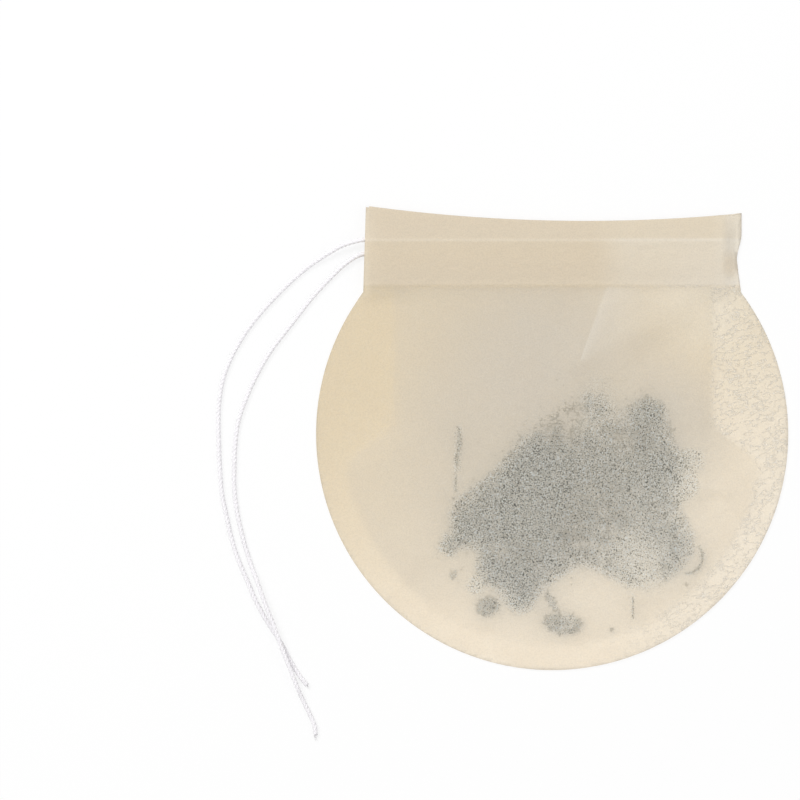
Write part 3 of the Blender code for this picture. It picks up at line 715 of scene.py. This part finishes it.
def paper_sheet(name, outer_height, strip_height, up, grid, finish, node):
    """One sheet: cut flat, divided, and folded at the neck's top. Up is 1 for the front sheet."""
    points, strip_end = flat_outline()
    bm = bmesh.new()
    bm.faces.new([bm.verts.new((x, y, 0)) for x, y in points])
    fold_length = math.pi * FOLD_RADIUS
    strip_start = FOLD_LINE + fold_length
    ridges = []
    for run in (FRONT_RUN, BACK_RUN):
        ridges += [run + RIDGE * (2 * i / (RIDGE_ROWS - 1) - 1) for i in range(RIDGE_ROWS)]
    rows = steps_between(-DISC_RADIUS, HEM_EDGE, grid) + [HEM_EDGE, *ridges]
    rows += steps_between(HEM_EDGE, FOLD_LINE, 2 * grid)
    rows += [FOLD_LINE + fold_length * i / FOLD_STEPS for i in range(FOLD_STEPS + 1)]
    rows += [2 * FOLD_LINE + fold_length - y for y in ridges]
    cut_lines(bm, 0, steps_between(-DISC_RADIUS, DISC_RADIUS, grid) + [*HEM_CLOSES])
    cut_lines(bm, 1, rows)
    bmesh.ops.remove_doubles(bm, verts=bm.verts[:], dist=SHORTEST_EDGE)
    layer = bm.verts.layers.float_color.new(MARKS)
    for vert in bm.verts:
        x, y = vert.co.x, vert.co.y
        vert[layer] = paper_marks(x, y)
        if y <= FOLD_LINE:
            place, height, lean = y, outer_height(x, y), 0.0
        elif y < strip_start:
            turn = (y - FOLD_LINE) / FOLD_RADIUS
            first, last = outer_height(x, FOLD_LINE), strip_height(FOLD_LINE)
            radius = (first - last) / 2
            place, height = FOLD_LINE, (first + last) / 2 + radius * math.cos(turn)
            lean = abs(radius) * math.sin(turn)
        else:
            place = 2 * FOLD_LINE + fold_length - y
            height, lean = strip_height(place), 0.0
        vert.co = Vector((x, CENTRE_Y + place + fold_shift(x, place) + lean, height))
    bmesh.ops.recalc_face_normals(bm, faces=bm.faces[:])
    lowest = min(bm.faces, key=lambda face: face.calc_center_median().y)
    if lowest.normal.z * up < 0:
        bmesh.ops.reverse_faces(bm, faces=bm.faces[:])
    sheet = new_piece(name, mesh_of(bm, name), finish, "filter_paper", node)
    edge = sheet.modifiers.new("cut_edge", "SOLIDIFY")
    edge.thickness = PAPER
    edge.offset = -1
    edge.use_rim_only = True
    flat = (max(p[0] for p in points) - min(p[0] for p in points), strip_end + DISC_RADIUS)
    flat_area(points)
    return sheet


def smooth_route(points, step):
    """Evenly spaced points on a smooth curve that passes through the route's own points."""
    dense = []
    padded = [2 * points[0] - points[1], *points, 2 * points[-1] - points[-2]]
    samples = 16
    for i in range(1, len(padded) - 2):
        before, start, end, after = padded[i - 1 : i + 3]
        for j in range(samples):
            t = j / samples
            pull = (end - before) * t
            bend = (2 * before - 5 * start + 4 * end - after) * t * t
            twist = (3 * start - before - 3 * end + after) * t**3
            dense.append((2 * start + pull + bend + twist) / 2)
    dense.append(points[-1])
    lengths = [0.0]
    for first, second in zip(dense, dense[1:]):
        lengths.append(lengths[-1] + (second - first).length)
    count = max(round(lengths[-1] / step), 2)
    route, at = [], 0
    for i in range(count + 1):
        wanted = lengths[-1] * i / count
        while at < len(dense) - 2 and lengths[at + 1] < wanted:
            at += 1
        share = (wanted - lengths[at]) / (lengths[at + 1] - lengths[at])
        route.append(dense[at].lerp(dense[at + 1], share))
    return route


def frames_along(route):
    """For each point of a route, the direction there and two directions across it that don't spin."""
    frames = []
    side = None
    for i, point in enumerate(route):
        forward = (route[min(i + 1, len(route) - 1)] - route[max(i - 1, 0)]).normalized()
        if side is None:
            side = forward.orthogonal()
        side = (side - forward * side.dot(forward)).normalized()
        frames.append((point, forward, side, forward.cross(side)))
    return frames


def grow_ring(bm, ring):
    """Extrudes a ring of points, and gives the new ring in the same order."""
    edges = [bm.edges.get(pair) for pair in zip(ring, ring[1:] + ring[:1])]
    grown = bmesh.ops.extrude_edge_only(bm, edges=edges)["geom"]
    fresh = {v for v in grown if isinstance(v, bmesh.types.BMVert)}
    onward = {}
    for vert in fresh:
        for edge in vert.link_edges:
            if edge.other_vert(vert) not in fresh:
                onward[edge.other_vert(vert)] = vert
    return [onward[vert] for vert in ring]


def twisted_string(name, route, sides, *nodes):
    """Three strands twisted into one string: a grooved ring, extruded and turned along the route."""
    bm = bmesh.new()
    uv = bm.loops.layers.uv.new("along_string")
    ring = bmesh.ops.create_circle(bm, segments=sides, radius=1, cap_ends=False)["verts"]
    number = {vert: (0, i) for i, vert in enumerate(ring)}
    travelled = 0.0
    for i, (point, _, side, up) in enumerate(frames_along(route)):
        if i:
            travelled += (point - route[i - 1]).length
            ring = grow_ring(bm, ring)
            number.update({vert: (i, j) for j, vert in enumerate(ring)})
        twist = 2 * math.pi * travelled / STRAND_TURN
        for j, vert in enumerate(ring):
            angle = 2 * math.pi * j / sides
            groove = (0.5 - 0.5 * math.cos(3 * angle)) ** 1.4
            lump = 0.05 * noise.noise(Vector((math.cos(angle), math.sin(angle), travelled / (1.3 * MM))))
            radius = STRING / 2 * (1.06 - GROOVE * groove + lump)
            turned = angle + twist
            vert.co = point + side * radius * math.cos(turned) + up * radius * math.sin(turned)
    first = [vert for vert, (i, _) in number.items() if i == 0]
    bm.faces.new(sorted(first, key=lambda vert: -number[vert][1]))
    bm.faces.new(ring)
    bmesh.ops.recalc_face_normals(bm, faces=bm.faces[:])
    for face in bm.faces:
        if len(face.verts) != 4:
            continue
        places = [number[loop.vert] for loop in face.loops]
        wraps = max(j for _, j in places) - min(j for _, j in places) > 1
        for loop, (i, j) in zip(face.loops, places):
            across = j + sides if wraps and j == 0 else j
            loop[uv].uv = (across / sides, travelled * i / (len(route) - 1))
    return new_piece(name, mesh_of(bm, name), COTTON, "cotton_string", *nodes)


def thread(bm, points, sides, radius_at):
    """A closed thread through the points. Its radius may change with the place, the angle and the share."""
    ring = bmesh.ops.create_circle(bm, segments=sides, radius=1, cap_ends=True)["verts"]
    last = len(points) - 1
    for i, (point, _, side, up) in enumerate(frames_along(points)):
        if i:
            ring = grow_ring(bm, ring)
        for j, vert in enumerate(ring):
            angle = 2 * math.pi * j / sides
            radius = radius_at(point, angle, i / last)
            vert.co = point + side * radius * math.cos(angle) + up * radius * math.sin(angle)
    bm.faces.new(ring)


def fibre(bm, points, radius):
    """One loose cotton fibre, thin at its far end."""
    thread(bm, points, 3, lambda point, angle, share: radius * (1 - 0.75 * share))


FRONT_RUN_HEIGHT = front_flap_height(FRONT_RUN) + PAPER + TOUCH + STRING / 2
BACK_RUN_HEIGHT = PAPER + TOUCH + STRING / 2
ON_FLOOR = STRING / 2 + FLOOR_GAP
OVER_STRING = ON_FLOOR + STRING + TOUCH

# The free ends' routes, as in the part's source: millimetres from the disc's centre, and the height there
SHORT_END = (
    (-39.9, 35.9, 1.6), (-43.3, 34.0, 1.0), (-47.1, 31.4, 0), (-51.0, 27.9, 0), (-54.0, 24.8, 0),
    (-56.6, 21.8, 0), (-58.7, 18.9, 0), (-61.0, 14.9, 0), (-62.7, 10.5, 0), (-63.5, 5.5, 0),
    (-63.6, 1.5, 0), (-63.5, -2.9, 0), (-63.3, -7.2, 0), (-62.9, -11.6, 0), (-62.1, -15.5, 0),
    (-61.2, -19.6, 0), (-60.0, -23.5, 0), (-58.2, -27.8, 0), (-56.5, -31.8, 0), (-54.7, -35.1, 0),
    (-52.9, -37.9, 0), (-51.1, -40.8, 0), (-50.0, -43.0, 0), (-48.6, -45.4, 0), (-46.7, -47.9, 0),
)
LONG_END = (
    (-36.9, 34.0, 0.8), (-39.7, 32.2, 0.6), (-42.8, 29.2, 0), (-46.0, 25.7, 0), (-48.4, 22.6, 0),
    (-50.9, 19.4, 0), (-53.5, 16.0, 0), (-55.5, 12.7, 0), (-57.3, 9.2, 0), (-58.6, 6.0, 0),
    (-59.6, 3.2, 0), (-60.2, 0.0, 0), (-60.5, -3.7, 0), (-60.6, -7.2, 0), (-60.6, -9.8, 0),
    (-60.3, -13.2, 0), (-59.7, -16.6, 0), (-59.0, -19.6, 0), (-57.7, -24.0, 0), (-56.1, -28.3, 0.8),
    (-54.7, -32.2, 1), (-53.2, -36.0, 1), (-52.2, -38.8, 1), (-51.3, -41.2, 1), (-49.8, -45.0, 1),
    (-48.6, -48.1, 0.8), (-47.5, -50.7, 0.2), (-46.3, -53.2, 0), (-45.3, -55.5, 0), (-45.1, -57.4, 0),
)


def on_bag(points):
    """Moves points that are measured from the disc's centre to their place in the frame."""
    return [point + Vector((0, CENTRE_Y, 0)) for point in points]


def short_end_route():
    start = RUN_STARTS - TOUCH
    route = [
        Vector((start, FRONT_RUN, FRONT_RUN_HEIGHT)),
        Vector((NECK_LEFT_TOP - STRING, FRONT_RUN, FRONT_RUN_HEIGHT)),
    ]
    route += [Vector((x * MM, y * MM, max(height * MM, ON_FLOOR))) for x, y, height in SHORT_END]
    return smooth_route(on_bag(route), RING_STEP)


def long_end_route():
    """Its third figure is 0 on the floor, and 1 on the other end or at the exit's height."""
    route = [Vector((RUN_STARTS - TOUCH, BACK_RUN, BACK_RUN_HEIGHT))]
    for x, y, share in LONG_END:
        top = OVER_STRING if y < 0 else BACK_RUN_HEIGHT
        route.append(Vector((x * MM, y * MM, ON_FLOOR + (top - ON_FLOOR) * share)))
    return smooth_route(on_bag(route), RING_STEP)


def held_route():
    """Inside the hems: out along the front run, round at the right, back along the back run."""
    half_gap = (FRONT_RUN - BACK_RUN) / 2
    middle_y = (FRONT_RUN + BACK_RUN) / 2
    length = TURN_AT - RUN_STARTS
    count = round(length / HELD_RING_STEP)
    route = [Vector((RUN_STARTS + length * i / count, FRONT_RUN, FRONT_RUN_HEIGHT)) for i in range(count)]
    turn_steps = 10
    for i in range(turn_steps + 1):
        share = i / turn_steps
        angle = math.pi / 2 - math.pi * share
        height = FRONT_RUN_HEIGHT + (BACK_RUN_HEIGHT - FRONT_RUN_HEIGHT) * smooth_step(share)
        place = (TURN_AT + half_gap * math.cos(angle), middle_y + half_gap * math.sin(angle), height)
        route.append(Vector(place))
    route += [Vector((TURN_AT - length * i / count, BACK_RUN, BACK_RUN_HEIGHT)) for i in range(1, count + 1)]
    return on_bag(route)


def string_fuzz(name, route, hairs, tails, seed):
    """Fine hairs along a free end, and the strands' loose fibres at its cut tip."""
    rng = random.Random(seed)
    bm = bmesh.new()
    frames = frames_along(route)
    for _ in range(hairs):
        point, forward, side, up = frames[rng.randrange(20, len(frames))]
        angle = rng.uniform(0, 2 * math.pi)
        out = side * math.cos(angle) + up * math.sin(angle)
        lean = forward * rng.uniform(-1, 1)
        start = point + out * STRING * 0.38
        length = rng.uniform(0.3, 1.0) * MM
        points = [start]
        for i in range(1, 4):
            bend = Vector((rng.uniform(-1, 1), rng.uniform(-1, 1), rng.uniform(-0.4, 0.4))) * 0.35
            points.append(points[-1] + (out * 0.6 + lean + bend).normalized() * length / 3)
        for p in points:
            p.z = max(p.z, FLOOR_GAP)
        fibre(bm, points, 0.016 * MM)
    tip, forward, side, up = frames[-1]
    for length, spread, radius in tails:
        points = [tip - forward * 0.8 * MM]
        sway = rng.uniform(-1, 1)
        off = side * rng.uniform(-0.25, 0.25) * MM + up * rng.uniform(-0.2, 0.2) * MM
        for i in range(1, 7):
            share = i / 6
            aside = (side * spread + up * 0.05 * sway) * share**1.5 * length
            wobble = side * 0.12 * MM * math.sin(share * 7 + 3 * sway)
            point = tip - forward * 0.8 * MM + forward * (0.8 * MM + length) * share + aside + off + wobble
            point.z = max(point.z, radius + FLOOR_GAP)
            points.append(point)
        fibre(bm, points, radius)
    bmesh.ops.recalc_face_normals(bm, faces=bm.faces[:])
    return new_piece(name, mesh_of(bm, name), FUZZ, "cotton_string")


def string_tails(rng, count, longest, spread):
    """Length, spread and radius of each loose fibre at a cut tip."""
    return [
        (rng.uniform(0.25, 1) * longest, rng.uniform(-spread, spread), rng.uniform(0.03, 0.06) * MM)
        for _ in range(count)
    ]


# The tea


def leaf_shapes():
    """A few leaves, about 1 long, rolled and bent in different ways, for repeating."""
    rng = random.Random(5)
    shapes = []
    for kind in range(8):
        bm = bmesh.new()
        bmesh.ops.create_cone(bm, cap_ends=True, segments=5, radius1=0.16, radius2=0.13, depth=1)
        for place in (-0.2, 0.2):
            everything = bm.verts[:] + bm.edges[:] + bm.faces[:]
            up = Vector((0, 0, 1))
            bmesh.ops.bisect_plane(bm, geom=everything, dist=1e-6, plane_co=up * place, plane_no=up)
        bend, twist, flat = rng.uniform(-0.7, 0.7), rng.uniform(-2, 2), rng.uniform(0.4, 0.9)
        for vert in bm.verts:
            along = vert.co.z
            uneven = 1 + 0.35 * noise.noise(vert.co * 6 + Vector((kind, 0, 0)))
            wide = (1 - 0.9 * abs(along) ** 1.3) * uneven
            across = Vector((vert.co.x * wide, vert.co.y * wide * flat))
            across.rotate(Matrix.Rotation(twist * along, 2))
            vert.co = Vector((along, across.x + bend * (along * along - 0.12), across.y))
        bmesh.ops.recalc_face_normals(bm, faces=bm.faces[:])
        shapes.append(mesh_of(bm, f"leaf_shape_{kind}", smooth=False))
    return shapes


def grain_shape():
    bm = bmesh.new()
    bmesh.ops.create_cone(bm, cap_ends=True, segments=4, radius1=0.5, radius2=0.25, depth=0.7)
    return mesh_of(bm, "grain_shape", smooth=False)


def distance_inside(point, outline):
    """How far a point lies inside a closed outline, less than 0 outside it."""
    nearest, inside = 1.0, False
    for start, end in zip(outline, outline[1:] + outline[:1]):
        along = end - start
        share = min(max((point - start).dot(along) / along.length_squared, 0.0), 1.0)
        nearest = min(nearest, (point - start - along * share).length)
        if (start.y > point.y) != (end.y > point.y):
            if point.x < start.x + along.x * (point.y - start.y) / along.y:
                inside = not inside
    return nearest if inside else -nearest


def tea_fullness(point, clumps=TEA_CLUMPS):
    """How far up to the front sheet the tea reaches, from 0 to 1."""
    total = TEA_FULLNESS
    for middle, radius, adds in TEA_PILES:
        off = (point / SEAL_RADIUS - Vector(middle)).length / radius
        total += adds * math.exp(-off * off)
    total += clumps * noise.noise(Vector((point.x, point.y, 0)) / CLUMP_SIZE)
    return min(max(total, THINNEST), 1.0)


def scattered(place):
    """1 along the heap's upper edge, where it thins out slowly, and 0 where it ends at once."""
    return smooth_step((place.y / SEAL_RADIUS + 0.3) / 0.3)


def heap_top(place, inside):
    """How high the heap is at a place: a share of the room there, less on its rounded shoulder."""
    shoulder = math.sqrt(1 - (1 - min(max(inside / TEA_EDGE, 0.0), 1.0)) ** 2)
    return THINNEST + (tea_fullness(place) - THINNEST) * shoulder


class Heap:
    """Gathers many small tea leaves in one mesh, each held between the two sheets."""

    def __init__(self):
        self.bm = bmesh.new()

    def drop(self, shape, place, height, size, angles):
        """Adds a leaf. Height is its share of the room between the sheets."""
        copy = shape.copy()
        turn = Matrix.Rotation(angles[0], 4, "Z") @ Matrix.Rotation(angles[1], 4, "Y")
        turn = turn @ Matrix.Rotation(angles[2], 4, "X")
        copy.transform(turn @ Matrix.Diagonal((*size, 1)))
        for vert in copy.vertices:
            x, y = vert.co.x + place.x, vert.co.y + place.y
            bottom = PAPER + TEA_ROOM
            top = front_height(x, y) - PAPER - TEA_ROOM
            middle = bottom + (top - bottom) * height
            z = min(max(middle + vert.co.z, bottom), max(top, bottom))
            vert.co = Vector((x, y + CENTRE_Y, z))
        self.bm.from_mesh(copy)
        bpy.data.meshes.remove(copy)

    def done(self, name, *nodes):
        return new_piece(name, mesh_of(self.bm, name, smooth=False), TEA, "tea_leaves", *nodes)


def leaf_size(rng, longest):
    length = longest * rng.uniform(0.45, 1)
    width = rng.uniform(0.9, 1.7) * MM
    return (length, width, width)


def turned_any(rng, steep=0.35):
    return (rng.uniform(0, 2 * math.pi), rng.uniform(-steep, steep), rng.uniform(0, 2 * math.pi))


def main_heap(leaves, grain):
    """The main heap, thick and dark in some places and thin in others, with grains strewn round it."""
    rng = random.Random(21)
    outline = HEAP_OUTLINE
    low_x, high_x = min(p.x for p in outline), max(p.x for p in outline)
    low_y, high_y = min(p.y for p in outline), max(p.y for p in outline)
    heap = Heap()
    dropped = 0
    while dropped < LEAF_COUNT:
        place = Vector((rng.uniform(low_x, high_x), rng.uniform(low_y, high_y)))
        ragged = 2.0 * MM * noise.noise(Vector((place.x, place.y, 0)) / (1.8 * MM))
        inside = distance_inside(place, outline) + ragged - 0.5 * MM
        if inside < 0:
            continue
        thins = min(inside / ((2 + 2 * scattered(place)) * MM), 1.0)
        if rng.random() > tea_fullness(place) ** 2.5 * (0.3 + 0.7 * thins):
            continue
        height = heap_top(place, inside) * rng.random() ** 0.5
        heap.drop(rng.choice(leaves), place, height, leaf_size(rng, 2.3 * MM), turned_any(rng))
        dropped += 1
    dropped = 0
    margin = 5 * MM
    while dropped < GRAIN_COUNT:
        place = Vector((rng.uniform(low_x - margin, high_x), rng.uniform(low_y, high_y + margin)))
        inside = distance_inside(place, outline)
        if inside < 0 and rng.random() > 0.12 * math.exp(inside / (1.6 * MM)):
            continue
        if rng.random() > tea_fullness(place) + 0.1:
            continue
        size = rng.uniform(0.18, 0.5) * MM
        height = heap_top(place, inside) - 0.12 * rng.random() ** 2
        heap.drop(grain, place, max(height, 0), (size, size, size * 0.8), turned_any(rng, 3))
        dropped += 1
    return heap.done("tea_leaves_heap", "tea_heap")


# Loose tea: piece, CAD node, middle in pocket radii, half length and half width in millimetres, turn
# in degrees, how many leaves, and their longest length
LOOSE_TEA = (
    ("tea_leaves_low", "tea_clump_low", (0.05, -0.89), (3.7, 2.0), -6, 85, 1.5),
    ("tea_leaves_left", "tea_clump_left", (-0.30, -0.81), (2.2, 1.8), 20, 80, 1.3),
    ("tea_flake_left", "tea_bit_left", (-0.465, -0.66), (1.1, 0.5), 80, 12, 1.0),
    ("tea_flake_low", "tea_bit_low", (-0.005, -0.785), (2.1, 0.7), -63, 32, 1.2),
    ("tea_grain_right", "tea_speck_right", (0.63, -0.71), (0.35, 0.25), 30, 4, 0.8),
    ("tea_grain_low", "tea_speck_low", (0.28, -0.92), (0.3, 0.25), 0, 4, 0.7),
)
# Stems and the curled leaf, as in the part's source
TEA_STEMS = (
    ("tea_stem_left_upper", ((-0.44, 0.03), (-0.435, -0.04), (-0.445, -0.10), (-0.45, -0.16)), 0.9 * MM),
    ("tea_stem_left_lower", ((-0.45, -0.19), (-0.455, -0.23), (-0.453, -0.27)), 0.5 * MM),
    ("tea_stem_low", ((0.38, -0.76), (0.38, -0.81), (0.38, -0.87)), 0.45 * MM),
)
CURL_MIDDLE = Vector((0.63, -0.58)) * SEAL_RADIUS
CURL_RADIUS = 3.1 * MM
CURL_TURN = (-95, 45)


def loose_tea(leaves):
    """Clumps, flakes and grains that lie apart from the heap."""
    for number, (name, node, middle, half, turn, count, longest) in enumerate(LOOSE_TEA):
        rng = random.Random(100 + number)
        heap = Heap()
        around = Matrix.Rotation(math.radians(turn), 2)
        for _ in range(count):
            reach, angle = math.sqrt(rng.random()), rng.uniform(0, 2 * math.pi)
            off = Vector((math.cos(angle) * half[0], math.sin(angle) * half[1])) * reach * MM
            off.rotate(around)
            place = Vector(middle) * SEAL_RADIUS + off
            height = rng.random() * (1 - 0.5 * reach)
            heap.drop(rng.choice(leaves), place, height, leaf_size(rng, longest * MM), turned_any(rng))
        heap.done(name, node)


def rough_stem(name, route, diameter, node):
    """A dry stem or rolled leaf: a ridged thread of uneven thickness through the route."""

    def radius_at(point, angle, share):
        taper = 1 - 0.55 * abs(2 * share - 1) ** 3
        around = Vector((math.cos(angle), math.sin(angle), point.y / (0.7 * MM)))
        return diameter / 2 * taper * (0.78 + 0.35 * noise.noise(around))

    bm = bmesh.new()
    thread(bm, route, 9, radius_at)
    bmesh.ops.recalc_face_normals(bm, faces=bm.faces[:])
    return new_piece(name, mesh_of(bm, name), TEA, "tea_leaves", node)


def stems_and_curl():
    for node, places, diameter in TEA_STEMS:
        height = PAPER + TOUCH + diameter / 2
        route = on_bag([Vector((x * SEAL_RADIUS, y * SEAL_RADIUS, height)) for x, y in places])
        rough_stem(node + "_rolled", smooth_route(route, 0.35 * MM), diameter, node)
    start, end = (math.radians(angle) for angle in CURL_TURN)
    steps = 34
    route = []
    for i in range(steps + 1):
        angle = start + (end - start) * i / steps
        x = CURL_MIDDLE.x + CURL_RADIUS * math.cos(angle)
        y = CURL_MIDDLE.y + CURL_RADIUS * math.sin(angle)
        route.append(Vector((x, y, PAPER + TOUCH + 0.3 * MM)))
    rough_stem("tea_curl_right_rolled", on_bag(route), 0.6 * MM, "tea_curl_right")


# The camera, the table and the light


def look_down():
    camera = bpy.data.objects.new("camera", bpy.data.cameras.new("camera"))
    camera.data.sensor_fit = "HORIZONTAL"
    camera.data.sensor_width = 36
    camera.data.lens = 36 * CAMERA_HEIGHT / VIEW_WIDTH
    camera.location = (VIEW_MIDDLE.x, VIEW_MIDDLE.y + CENTRE_Y, CAMERA_HEIGHT)
    camera.data.clip_start = 10 * MM
    bpy.context.scene.collection.objects.link(camera)
    bpy.context.scene.camera = camera


def seen_directly(finish):
    """1 for what the camera sees, also in a gloss or through a clear surface, and 0 for other light."""
    seen = None
    for ray in ("Is Camera Ray", "Is Glossy Ray", "Is Transmission Ray"):
        one = finish.add("LightPath", output=ray)
        seen = one if seen is None else finish.math("MAXIMUM", seen, one)
    return seen


FLOOR_DIRECT = 0.8  # share of plain white in the floor as it is seen, the rest takes the shadows
WORLD_LEVEL = 0.66
# Soft lamps: place in metres from the bag, size, and the level that each gives a white surface
LAMPS = (
    ((-0.55, 0.55, 0.85), 0.5, 0.45),
    ((0.75, -0.35, 0.8), 0.8, 0.12),
)


def white_table():
    """A plain white floor that keeps a soft shadow, and an even white surrounding."""
    floor = new_finish("table_white")
    white = floor.add("BsdfDiffuse", sockets={"Color": colour(0.93, 0.93, 0.93)})
    glow = floor.add("Emission", sockets={"Color": colour(1, 1, 1), "Strength": 1.0})
    share = seen_directly(floor) * FLOOR_DIRECT
    surface = floor.finish(floor.add("MixShader", sockets={0: share, 1: white, 2: glow}))
    bm = bmesh.new()
    bmesh.ops.create_grid(bm, x_segments=1, y_segments=1, size=1.5)
    bmesh.ops.translate(bm, vec=(0, 0, -0.02 * MM), verts=bm.verts[:])
    mesh = mesh_of(bm, "table", smooth=False)
    mesh.materials.append(surface)
    table = bpy.data.objects.new("table", mesh)
    bpy.context.scene.collection.objects.link(table)


def soft_light():
    sky = Finish(bpy.data.worlds.new("soft_white"))
    level = seen_directly(sky) * (1 - WORLD_LEVEL) + WORLD_LEVEL
    glow = sky.add("Background", sockets={"Color": colour(1, 1, 1), "Strength": level})
    bpy.context.scene.world = sky.finish(glow, "OutputWorld")
    for number, (place, size, level) in enumerate(LAMPS):
        light = bpy.data.lights.new(f"soft_lamp_{number}", "AREA")
        light.shape = "DISK"
        light.size = size
        distance = Vector(place).length
        light.energy = level * math.pi**2 * distance**2
        lamp = bpy.data.objects.new(light.name, light)
        lamp.location = place
        lamp.rotation_euler = (-Vector(place)).to_track_quat("-Z", "Y").to_euler()
        bpy.context.scene.collection.objects.link(lamp)


look_down()
COTTON, FUZZ, TEA = cotton_finish(), fuzz_finish(), tea_finish()

FREE_ENDS = (
    ("drawstring_short", short_end_route(), 31, (10, 0.8 * MM, 0.18)),
    ("drawstring_long", long_end_route(), 32, (16, 1.2 * MM, 0.35)),
)
for name, route, seed, tail in FREE_ENDS:
    string = twisted_string(name, route, RING_SIDES, name + "_end")
    fuzz = string_fuzz(name + "_fuzz", route, 170, string_tails(random.Random(seed), *tail), seed)
    sum((b - a).length for a, b in zip(route, route[1:]))
twisted_string("drawstring_held", held_route(), 12, "drawstring_in_hem")

FRONT_PAPER = paper_finish("filter_paper_front", True)
paper_sheet("front_sheet", front_height, front_flap_height, 1, FINE_GRID, FRONT_PAPER, "front_ply")
BACK_PAPER = paper_finish("filter_paper_back", False)
paper_sheet("back_sheet", back_height, back_strip_height, -1, BACK_GRID, BACK_PAPER, "back_ply")

LEAVES = leaf_shapes()
main_heap(LEAVES, grain_shape())
loose_tea(LEAVES)
stems_and_curl()

white_table()
soft_light()
bpy.context.scene.view_settings.view_transform = "Standard"
